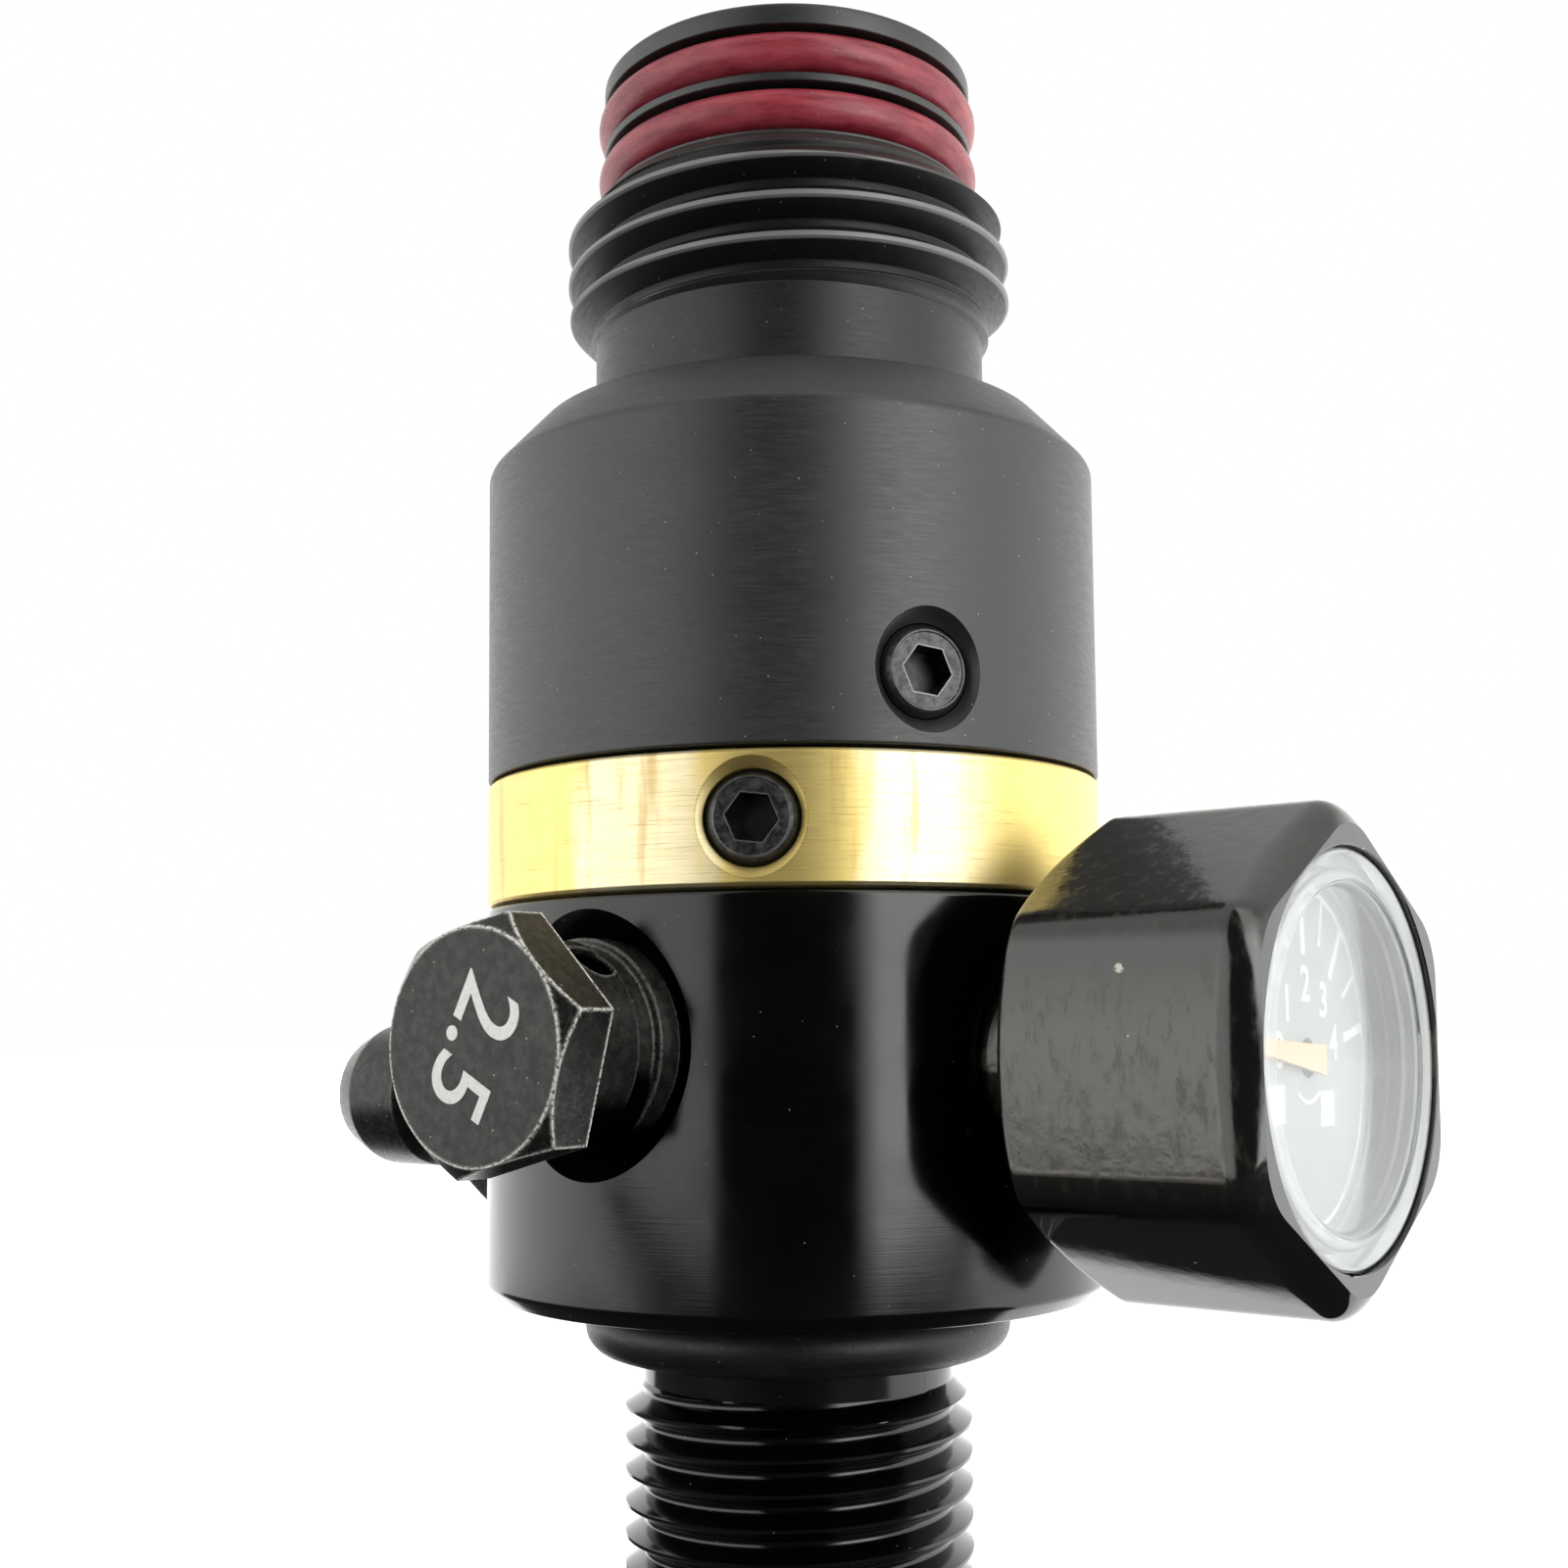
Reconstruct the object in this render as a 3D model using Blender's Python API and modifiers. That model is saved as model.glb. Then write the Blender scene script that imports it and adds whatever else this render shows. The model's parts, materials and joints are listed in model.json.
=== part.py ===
"""A high-pressure air regulator that screws into the neck of a small tank.

The valve body seats on the tank neck. Its spigot carries a jam ring and the bonnet, and the bonnet ends
in a threaded nose with a pin valve. Four ports round the body hold a gauge, a fill nipple and two burst
plugs. Heights are along +Z from the face that seats on the tank; a port's own Z axis points outwards.
Run it with: blender --background --python part.py
"""

import math

import bmesh
import bpy
from mathutils import Matrix, Vector

MM = 0.001
TURN = 2.0 * math.pi

# All sizes below are millimetres or degrees.

# Clearances
GAP = 0.3
SEAL_GAP = 0.24

# Segments of a full circle, and the angle below which two faces are shaded as one
DRILLED_SIDES = 8
COARSE = 12
MEDIUM = 20
FINE = 32
SEAL_SIDES = 6
SHADING_ANGLE = 35.0

# Valve body
BODY_RADIUS = 14.14
BODY_HEIGHT = 17.3
BODY_EDGE = 0.25
BODY_FOOT_CHAMFER = 0.62
SPIGOT_HEIGHT = 14.7
SPIGOT_WALL = 2.2
SPIGOT_EDGE = 0.4
POCKET_FLOOR_ABOVE_BODY = 0.7
RELIEF_RADIUS = 7.05
RELIEF_LENGTH = 3.9

# Tank thread, 5/8 in - 18
TANK_THREAD_RADIUS = 7.9
TANK_THREAD_PITCH = 1.411
TANK_THREAD_DEPTH = 0.85
TANK_THREAD_TURNS = 10
TANK_THREAD_END = 0.9

# Tank neck O-ring
NECK_ORING_SECTION = 2.5

# High-pressure bore and seat
INLET_BORE_RADIUS = 4.0
CHAMBER_TOP = 6.8
FILTER_THICKNESS = 2.0
FILTER_INSET = 0.5
CARRIER_TOP = 4.6
CARRIER_THICKNESS = 2.4
CARRIER_FEED_RADIUS = 0.45
CARRIER_FEEDS = 4
SEAT_RADIUS = 1.9
SEAT_DEPTH = 1.3
SEAT_PROUD = 0.6

# Piston
STEM_RADIUS = 2.8
STEM_BORE_RADIUS = 1.2
STEM_TIP_LENGTH = 0.6
STEM_CROSS_HOLE_RADIUS = 0.5
PISTON_TRAVEL = 0.8
PISTON_HEAD_HEIGHT = 3.4
PISTON_EDGE = 0.2
PISTON_BELOW_HEAD = 1.0

# O-rings of the 1.78 mm section
SEAL_SECTION = 1.78
GROOVE_LAND = 0.8
RELAY_RING_DEPTH = 1.15
RELAY_RING_HEIGHT = 1.4

# Belleville washers
WASHER_COUNT = 6
WASHER_THICKNESS = 1.25

# Jam ring and bonnet
RING_HEIGHT = 5.35
RING_WALL = 3.24
RING_EDGE = 0.2
BONNET_SKIRT_HEIGHT = 14.08
BONNET_EDGE = 0.2
BONNET_CONE_HEIGHT = 2.5
BONNET_LEDGE_RADIUS = 11.78
BONNET_SHOULDER = 0.9
PISTON_HEADROOM = 0.9
NECK_RADIUS = 9.18
NECK_HEIGHT = 4.2

# Nose thread, 0.825 in - 14
NOSE_THREAD_RADIUS = 10.48
NOSE_THREAD_PITCH = 1.814
NOSE_THREAD_DEPTH = 1.13
NOSE_THREAD_TURNS = 3
NOSE_THREAD_RUNOUT = 0.64

# Nose above the thread
NOSE_RADIUS = 8.75
NOSE_SHOULDER = 0.93
NOSE_LAND = 0.38
NOSE_TOP_LAND = 1.0
NOSE_EDGE = 0.35
NOSE_GROOVE_RADIUS = 7.13
NOSE_GROOVE_HEIGHT = 2.2
OUTLET_RADIUS = 3.2

# Pin valve in the nose
PIN_VALVE_RADIUS = 4.6
PIN_VALVE_LENGTH = 11.4
PIN_VALVE_INSET = 1.6
PIN_VALVE_WALL = 1.3
PIN_VALVE_ROOF = 4.6
PIN_VALVE_SLOT_WIDTH = 1.2
PIN_VALVE_SLOT_DEPTH = 1.0
PIN_WASHER_THICKNESS = 0.5
PIN_RADIUS = 1.2
PIN_HOLE_CLEARANCE = 0.5
PIN_BELOW_NOSE = 0.4
PIN_TAIL_RADIUS = 0.9
PIN_FLANGE_THICKNESS = 0.8
PIN_SEAL_THICKNESS = 0.9
PIN_TRAVEL = 1.2

# Springs and their retainers in the pin valve and the nipple
SPRING_WIRE_RADIUS = 0.25
SPRING_TURNS = 4.0
SPRING_POINTS_PER_TURN = 9
RETAINER_THICKNESS = 0.9
RETAINER_HOLE_RADIUS = 1.3

# Set screws, size 8-32
SCREW_RADIUS = 2.085
SCREW_SOCKET = 1.98
SCREW_SOCKET_DEPTH = 1.3
SCREW_EDGE = 0.4
SCREW_RECESS = 0.2
SCREW_HOLE_FLARE = 0.1
RING_SCREW_AZIMUTH = -6.9
BONNET_SCREW_AZIMUTH = 23.3
BONNET_SCREW_ABOVE_EDGE = 3.05

# Ports
PORT_FLOOR = 7.4
GAUGE_AZIMUTH = 51.0
GAUGE_HEIGHT = 10.6
PIPE_RADIUS = 4.6
LOW_BURST_AZIMUTH = -37.0
LOW_BURST_HEIGHT = 11.3
HIGH_BURST_AZIMUTH = 143.0
HIGH_BURST_HEIGHT = 10.6
NIPPLE_AZIMUTH = -129.0
NIPPLE_HEIGHT = 8.5
DRILLING_RADIUS = 0.55
HIGH_DRILLING_TOP = 8.6
HIGH_DRILLING_BOTTOM = 5.2

# Gauge
CASE_ACROSS_FLATS = 17.6
CASE_BACK = 16.6
CASE_DEPTH = 10.55
CASE_TURN = 90.0
CASE_CORNER = 2.0
CASE_CORNER_SEGMENTS = 3
CASE_FRONT_EDGE = 0.9
CASE_FRONT_SLOPE = 2.0
CASE_BACK_CHAMFER = 0.35
CASE_BACK_SLOPE = 0.5
CASE_FLOOR = 1.6
CASE_WALL = 0.55
GAUGE_COLLAR_RADIUS = 4.45
GAUGE_COLLAR_BACK = 12.0
GAUGE_POST_RADIUS = 2.4
GAUGE_POST_HEIGHT = 1.3
GAUGE_STEM_BORE = 0.8
LENS_THICKNESS = 0.8
LENS_EDGE = 0.3
LENS_SKIRT = 0.75
DIAL_THICKNESS = 0.4
DIAL_DEPTH = 2.9
ARBOR_RADIUS = 0.5
POINTER_THICKNESS = 0.25
POINTER_LENGTH = 5.3
POINTER_TAIL = 1.0
POINTER_WIDTH = 1.2
POINTER_TIP_WIDTH = 0.55
POINTER_HUB_RADIUS = 0.6
POINTER_ANGLE = 174.0
BOURDON_RADIUS = 4.6
BOURDON_TUBE_RADIUS = 0.45
BOURDON_TURNS = 1.6
BOURDON_POINTS_PER_TURN = 14

# Burst plugs
PLUG_MOUTH_RADIUS = 5.55
PLUG_MOUTH_SLOPE = 1.25
PLUG_THREAD_RADIUS = 4.1
PLUG_FLANGE_RADIUS = 4.35
PLUG_FLANGE_BACK = 13.3
PLUG_FLANGE_THICKNESS = 1.2
PLUG_COLLAR_RADIUS = 4.2
PLUG_COLLAR_LENGTH = 2.5
PLUG_NECK_RADIUS = 4.0
PLUG_HEAD_FRONT = 20.5
PLUG_HEAD_THICKNESS = 2.4
PLUG_ACROSS_FLATS = 9.25
PLUG_FACE_CHAMFER = 0.66
PLUG_TURN = 14.9
PLUG_BORE_RADIUS = 1.9
PLUG_VENT_RADIUS = 1.0
PLUG_VENT_DISTANCE = 16.4
PLUG_VENT_ANGLE = 54.0
BURST_DISC_THICKNESS = 0.3
BURST_WASHER_THICKNESS = 0.5

# Fill nipple
NIPPLE_ACROSS_FLATS = 11.1
NIPPLE_TURN = 45.0
NIPPLE_HEX_FRONT = 18.5
NIPPLE_HEX_CHAMFER = 0.6
NIPPLE_TIP = 29.9
NIPPLE_BARREL_RADIUS = 3.85
NIPPLE_TIP_RADIUS = 3.1
NIPPLE_TIP_CHAMFER = 1.9
NIPPLE_GROOVE_RADIUS = 3.3
NIPPLE_GROOVE_FROM_TIP = 5.4
NIPPLE_GROOVE_LENGTH = 2.2
NIPPLE_CHAMBER_RADIUS = 2.9
NIPPLE_CHAMBER_TOP = 21.5
NIPPLE_PASSAGE_RADIUS = 1.2
NIPPLE_FILTER_RADIUS = 1.9
NIPPLE_FILTER_THICKNESS = 1.1
POPPET_NOSE_RADIUS = 0.95
POPPET_NOSE_LENGTH = 1.1
POPPET_HEAD_THICKNESS = 2.0
POPPET_TAIL_LENGTH = 5.6
POPPET_TRAVEL = 1.2
POPPET_SEAL_SECTION = 1.0

# Places that several pieces share
RING_BORE_RADIUS = BODY_RADIUS - RING_WALL
SPIGOT_RADIUS = RING_BORE_RADIUS - GAP
POCKET_RADIUS = SPIGOT_RADIUS - SPIGOT_WALL
WASHER_RADIUS = POCKET_RADIUS - GAP
CHAMBER_RADIUS = RING_BORE_RADIUS - BONNET_SHOULDER
SPIGOT_TOP = BODY_HEIGHT + SPIGOT_HEIGHT
POCKET_FLOOR = BODY_HEIGHT + POCKET_FLOOR_ABOVE_BODY
TANK_THREAD_LENGTH = TANK_THREAD_TURNS * TANK_THREAD_PITCH
BODY_BOTTOM = -(RELIEF_LENGTH + TANK_THREAD_LENGTH + TANK_THREAD_END)
STEM_HOLE_RADIUS = STEM_RADIUS + SEAL_GAP
STEM_SEAL_RADIUS = STEM_HOLE_RADIUS + SEAL_SECTION / 2
STEM_GROOVE_RADIUS = STEM_SEAL_RADIUS + SEAL_SECTION / 2 + SEAL_GAP
GROOVE_HEIGHT = SEAL_SECTION + 2 * SEAL_GAP
LOWER_GROOVE = CHAMBER_TOP + GROOVE_LAND
RELAY_RING = LOWER_GROOVE + GROOVE_HEIGHT + GROOVE_LAND
UPPER_GROOVE = RELAY_RING + RELAY_RING_HEIGHT + GROOVE_LAND
RELAY_MIDDLE = RELAY_RING + RELAY_RING_HEIGHT / 2
SEAT_TOP = CARRIER_TOP + SEAT_PROUD
STEM_TIP = SEAT_TOP + PISTON_TRAVEL
RING_BOTTOM = BODY_HEIGHT + GAP
RING_TOP = RING_BOTTOM + RING_HEIGHT
BONNET_BOTTOM = RING_TOP + GAP
CONE_BOTTOM = BONNET_BOTTOM + BONNET_SKIRT_HEIGHT
LEDGE_HEIGHT = CONE_BOTTOM + BONNET_CONE_HEIGHT
NECK_TOP = LEDGE_HEIGHT + NECK_HEIGHT
NOSE_THREAD_TOP = NECK_TOP + NOSE_THREAD_RUNOUT + NOSE_THREAD_TURNS * NOSE_THREAD_PITCH
LOWER_NOSE_GROOVE = NOSE_THREAD_TOP + NOSE_SHOULDER
UPPER_NOSE_GROOVE = LOWER_NOSE_GROOVE + NOSE_GROOVE_HEIGHT + NOSE_LAND
NOSE_TOP = UPPER_NOSE_GROOVE + NOSE_GROOVE_HEIGHT + NOSE_TOP_LAND
NOSE_SEAL_RADIUS = NOSE_GROOVE_RADIUS + SEAL_GAP / 2 + SEAL_SECTION / 2
PISTON_HEAD_BOTTOM = SPIGOT_TOP + PISTON_BELOW_HEAD
PISTON_TOP = PISTON_HEAD_BOTTOM + PISTON_HEAD_HEIGHT
PISTON_RADIUS = CHAMBER_RADIUS - GAP
PISTON_SEAL_RADIUS = PISTON_RADIUS - SEAL_SECTION / 2 - SEAL_GAP / 2
PISTON_GROOVE_RADIUS = PISTON_SEAL_RADIUS - SEAL_SECTION / 2 - SEAL_GAP
PISTON_GROOVE = PISTON_HEAD_BOTTOM + (PISTON_HEAD_HEIGHT - GROOVE_HEIGHT) / 2
CHAMBER_ROOF = PISTON_TOP + PISTON_HEADROOM
PIN_VALVE_TOP = NOSE_TOP - PIN_VALVE_INSET
PIN_VALVE_BOTTOM = PIN_VALVE_TOP - PIN_VALVE_LENGTH
PIN_CHAMBER_RADIUS = PIN_VALVE_RADIUS - PIN_VALVE_WALL
PIN_CHAMBER_ROOF = PIN_VALVE_TOP - PIN_VALVE_ROOF
PIN_SEAL_TOP = PIN_CHAMBER_ROOF - GAP
PIN_FLANGE_TOP = PIN_SEAL_TOP - PIN_SEAL_THICKNESS - GAP
PIN_FLANGE_BOTTOM = PIN_FLANGE_TOP - PIN_FLANGE_THICKNESS
PIN_VALVE_SEAT = PIN_VALVE_BOTTOM - PIN_WASHER_THICKNESS - 2 * GAP
NOSE_BORE_RADIUS = PIN_VALVE_RADIUS + GAP
SCREW_HOLE_RADIUS = SCREW_RADIUS + GAP
RING_SCREW_HEIGHT = RING_BOTTOM + RING_HEIGHT / 2
BONNET_SCREW_HEIGHT = BONNET_BOTTOM + BONNET_SCREW_ABOVE_EDGE
PIPE_PORT_RADIUS = PIPE_RADIUS + GAP
PLUG_PORT_RADIUS = PLUG_THREAD_RADIUS + GAP
PIPE_END = PORT_FLOOR + GAP
CASE_FRONT = CASE_BACK + CASE_DEPTH
CASE_BORE_RADIUS = CASE_ACROSS_FLATS / 2 - CASE_WALL
CASE_CAVITY = CASE_BACK + CASE_FLOOR
LENS_FRONT = CASE_FRONT - GAP / 2
DIAL_FRONT = CASE_FRONT - DIAL_DEPTH
POST_TOP = CASE_CAVITY + GAUGE_POST_HEIGHT
NIPPLE_HEX_BACK = BODY_RADIUS + GAP
OUTSIDE = 2 * NIPPLE_TIP


# Scene and materials

FINISHES = {
    "matte_black": ((0.030, 0.032, 0.036), 0.0, 0.55),
    "gloss_black": ((0.008, 0.008, 0.009), 0.0, 0.18),
    "bronze_black": ((0.050, 0.046, 0.040), 0.8, 0.40),
    "brass": ((0.80, 0.58, 0.24), 1.0, 0.24),
    "steel": ((0.62, 0.62, 0.62), 1.0, 0.30),
    "copper": ((0.80, 0.42, 0.26), 1.0, 0.30),
    "sintered_bronze": ((0.45, 0.32, 0.18), 0.9, 0.75),
    "red_rubber": ((0.28, 0.02, 0.04), 0.0, 0.45),
    "black_rubber": ((0.02, 0.02, 0.02), 0.0, 0.60),
    "white_plastic": ((0.80, 0.80, 0.76), 0.0, 0.45),
    "dial_grey": ((0.16, 0.17, 0.18), 0.0, 0.60),
    "pointer_orange": ((0.85, 0.46, 0.14), 0.0, 0.45),
    "clear": ((0.90, 0.92, 0.94), 0.0, 0.05),
}


def clear_scene():
    for obj in list(bpy.data.objects):
        bpy.data.objects.remove(obj, do_unlink=True)


def new_collection(name, hidden):
    collection = bpy.data.collections.new(name)
    collection.hide_render = hidden
    bpy.context.scene.collection.children.link(collection)
    return collection


def material(finish):
    found = bpy.data.materials.get(finish)
    if found:
        return found
    color, metallic, roughness = FINISHES[finish]
    made = bpy.data.materials.new(finish)
    made.use_nodes = True
    shader = made.node_tree.nodes["Principled BSDF"]
    shader.inputs["Base Color"].default_value = (*color, 1.0)
    shader.inputs["Metallic"].default_value = metallic
    shader.inputs["Roughness"].default_value = roughness
    if finish == "clear":
        shader.inputs["Alpha"].default_value = 0.35
    return made


clear_scene()
PARTS = new_collection("tank_regulator", hidden=False)
CUTTERS = new_collection("cutters", hidden=True)
UPRIGHT = Matrix.Identity(4)


# Shapes


def place(name, mesh, frame, finish):
    """Adds an object to the parts, or to the cutters when it has no finish."""
    obj = bpy.data.objects.new(name, mesh)
    obj.matrix_world = frame
    if finish is None:
        obj.hide_render = True
        obj.display_type = "WIRE"
        CUTTERS.objects.link(obj)
    else:
        mesh.materials.append(material(finish))
        PARTS.objects.link(obj)
    return obj


def bake(obj):
    """Turns the modifiers so far into plain mesh, shaded smooth between its sharp edges."""
    bpy.context.view_layer.update()
    graph = bpy.context.evaluated_depsgraph_get()
    mesh = bpy.data.meshes.new_from_object(obj.evaluated_get(graph))
    obj.modifiers.clear()
    obj.data = mesh
    mesh.shade_smooth()
    mesh.set_sharp_from_angle(angle=math.radians(SHADING_ANGLE))
    return obj


def turned(name, outline, frame=UPRIGHT, finish=None, segments=MEDIUM):
    """Revolves (radius, height) points; the outline runs down its outer side and closes itself.

    An outline that starts and ends on the axis stays open there.
    """
    count = len(outline)
    solid_core = outline[0][0] == 0 and outline[-1][0] == 0
    points = [(radius * MM, 0.0, height * MM) for radius, height in outline]
    edges = [(i, (i + 1) % count) for i in range(count - solid_core)]
    mesh = bpy.data.meshes.new(name)
    mesh.from_pydata(points, edges, [])
    obj = place(name, mesh, frame, finish)
    screw = obj.modifiers.new("Revolve", "SCREW")
    screw.axis = "Z"
    screw.angle = TURN
    screw.steps = segments
    screw.render_steps = segments
    screw.use_merge_vertices = True
    screw.merge_threshold = 0.00001
    return bake(obj)


def disc_outline(radius, low, high, edge=0.0):
    """Outline of a solid disc with a chamfer at both rims."""
    if edge == 0:
        return [(0, high), (radius, high), (radius, low), (0, low)]
    return [
        (0, high),
        (radius - edge, high),
        (radius, high - edge),
        (radius, low + edge),
        (radius - edge, low),
        (0, low),
    ]


def ring_outline(outer, inner, low, high, edge=0.0):
    """Outline of a ring with a chamfer at both outer rims."""
    if edge == 0:
        return [(outer, high), (outer, low), (inner, low), (inner, high)]
    return [
        (outer - edge, high),
        (outer, high - edge),
        (outer, low + edge),
        (outer - edge, low),
        (inner, low),
        (inner, high),
    ]


def seal(name, radius, section, height, finish, frame=UPRIGHT, segments=MEDIUM):
    """An O-ring: its section's centre runs at this radius and height."""
    outline = []
    for side in range(SEAL_SIDES):
        angle = -TURN * side / SEAL_SIDES
        outline.append(
            (
                radius + section / 2 * math.cos(angle),
                height + section / 2 * math.sin(angle),
            )
        )
    return turned(name, outline, frame, finish, segments)


def prism(name, across_flats, low, high, turn, frame, finish=None, corner=0.0):
    """A hexagonal bar along the frame's Z, one corner at this angle from the frame's X."""
    shape = bmesh.new()
    radius = across_flats / 2 / math.cos(math.pi / 6)
    bmesh.ops.create_cone(
        shape,
        cap_ends=True,
        segments=6,
        radius1=radius * MM,
        radius2=radius * MM,
        depth=(high - low) * MM,
        matrix=Matrix.Translation((0, 0, (low + high) / 2 * MM))
        @ Matrix.Rotation(math.radians(turn - 90), 4, "Z"),
    )
    if corner > 0:
        sides = [e for e in shape.edges if abs(e.verts[0].co.z - e.verts[1].co.z) > MM]
        bmesh.ops.bevel(
            shape,
            geom=sides,
            offset=corner * math.tan(math.pi / 6) * MM,
            offset_type="OFFSET",
            segments=CASE_CORNER_SEGMENTS,
            profile=0.5,
            affect="EDGES",
        )
    mesh = bpy.data.meshes.new(name)
    shape.to_mesh(mesh)
    shape.free()
    return place(name, mesh, frame, finish)


def box(name, size, centre, frame=UPRIGHT):
    """A cutter block."""
    shape = bmesh.new()
    bmesh.ops.create_cube(shape, size=1.0)
    bmesh.ops.scale(shape, vec=Vector(size) * MM, verts=shape.verts)
    bmesh.ops.translate(shape, vec=Vector(centre) * MM, verts=shape.verts)
    mesh = bpy.data.meshes.new(name)
    shape.to_mesh(mesh)
    shape.free()
    return place(name, mesh, frame, None)


def combine(obj, other, operation):
    boolean = obj.modifiers.new(f"{operation} {other.name}", "BOOLEAN")
    boolean.operation = operation
    boolean.solver = "EXACT"
    boolean.object = other


def cut(obj, *cutters):
    for cutter in cutters:
        combine(obj, cutter, "DIFFERENCE")


def port_frame(azimuth, height):
    """Z points outwards at this azimuth, which is 0 at -Y and grows towards +X; Y points up."""
    angle = math.radians(azimuth)
    outwards = Vector((math.sin(angle), -math.cos(angle), 0))
    sideways = Vector((math.cos(angle), math.sin(angle), 0))
    upwards = Vector((0, 0, 1))
    frame = Matrix.Identity(4)
    for column, axis in enumerate((sideways, upwards, outwards)):
        for row in range(3):
            frame[row][column] = axis[row]
    frame.translation = Vector((0, 0, height * MM))
    return frame


def drilling(name, start, end, radius, frame):
    """A cutter for a straight hole between two points of a frame."""
    run = Vector(end) - Vector(start)
    aim = run.to_track_quat("Z", "Y").to_matrix().to_4x4()
    local = Matrix.Translation(Vector(start) * MM) @ aim
    bore = disc_outline(radius, 0, run.length)
    return turned(name, bore, frame @ local, None, DRILLED_SIDES)


def coil(name, radius, low, high, turns, wire_radius, frame, finish):
    """A compression spring of round wire."""
    count = round(turns * SPRING_POINTS_PER_TURN)
    first = low + wire_radius
    last = high - wire_radius
    route = []
    for step in range(count + 1):
        share = step / count
        angle = TURN * turns * share
        height = first + (last - first) * share
        route.append((radius * math.cos(angle), radius * math.sin(angle), height))
    return wire(name, route, wire_radius, frame, finish)


def wire(name, route, wire_radius, frame, finish):
    """A round wire or tube along a list of points."""
    curve = bpy.data.curves.new(name, "CURVE")
    curve.dimensions = "3D"
    curve.bevel_depth = wire_radius * MM
    curve.bevel_resolution = 1
    curve.use_fill_caps = True
    spline = curve.splines.new("POLY")
    spline.points.add(len(route) - 1)
    for point, place_mm in zip(spline.points, route):
        point.co = (*(Vector(place_mm) * MM), 1.0)
    return place(name, curve, frame, finish)


# Valve body


def thread_outline(crest_radius, depth, pitch, turns, top):
    """Crests and roots of a thread drawn as rings, from its top root down to its bottom root."""
    outline = [(crest_radius - depth, top)]
    for turn in range(turns):
        outline.append((crest_radius, top - (turn + 0.5) * pitch))
        outline.append((crest_radius - depth, top - (turn + 1) * pitch))
    return outline


def stem_hole_outline():
    """The stem's hole from the chamber up, with its two seal grooves and the relay ring between them."""
    outline = [(STEM_HOLE_RADIUS, CHAMBER_TOP)]
    recesses = (
        (STEM_GROOVE_RADIUS, LOWER_GROOVE, GROOVE_HEIGHT),
        (STEM_HOLE_RADIUS + RELAY_RING_DEPTH, RELAY_RING, RELAY_RING_HEIGHT),
        (STEM_GROOVE_RADIUS, UPPER_GROOVE, GROOVE_HEIGHT),
    )
    for radius, low, height in recesses:
        outline.append((STEM_HOLE_RADIUS, low))
        outline.append((radius, low))
        outline.append((radius, low + height))
        outline.append((STEM_HOLE_RADIUS, low + height))
    return outline + [(STEM_HOLE_RADIUS, POCKET_FLOOR)]


def high_pressure_drilling(name, frame, port_height):
    """From the chamber below the stem up to the floor of a port."""
    inner = (0, HIGH_DRILLING_BOTTOM - port_height, INLET_BORE_RADIUS - GAP)
    outer = (0, HIGH_DRILLING_TOP - port_height, PORT_FLOOR + GAP)
    return drilling(name, inner, outer, DRILLING_RADIUS, frame)


def pipe_port(name, azimuth, height):
    """The plain bore of a port that takes a pipe thread."""
    outline = disc_outline(PIPE_PORT_RADIUS, PORT_FLOOR, OUTSIDE)
    return turned(f"{name}_port", outline, port_frame(azimuth, height))


def plug_port(name, azimuth, height):
    """A burst plug's bore, with a conical mouth round the plug's flange."""
    cone_end = BODY_RADIUS - (PLUG_MOUTH_RADIUS - PLUG_PORT_RADIUS) * PLUG_MOUTH_SLOPE
    outside_radius = PLUG_MOUTH_RADIUS + (OUTSIDE - BODY_RADIUS) / PLUG_MOUTH_SLOPE
    outline = [
        (0, OUTSIDE),
        (outside_radius, OUTSIDE),
        (PLUG_PORT_RADIUS, cone_end),
        (PLUG_PORT_RADIUS, PORT_FLOOR),
        (0, PORT_FLOOR),
    ]
    return turned(f"{name}_port", outline, port_frame(azimuth, height))


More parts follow.
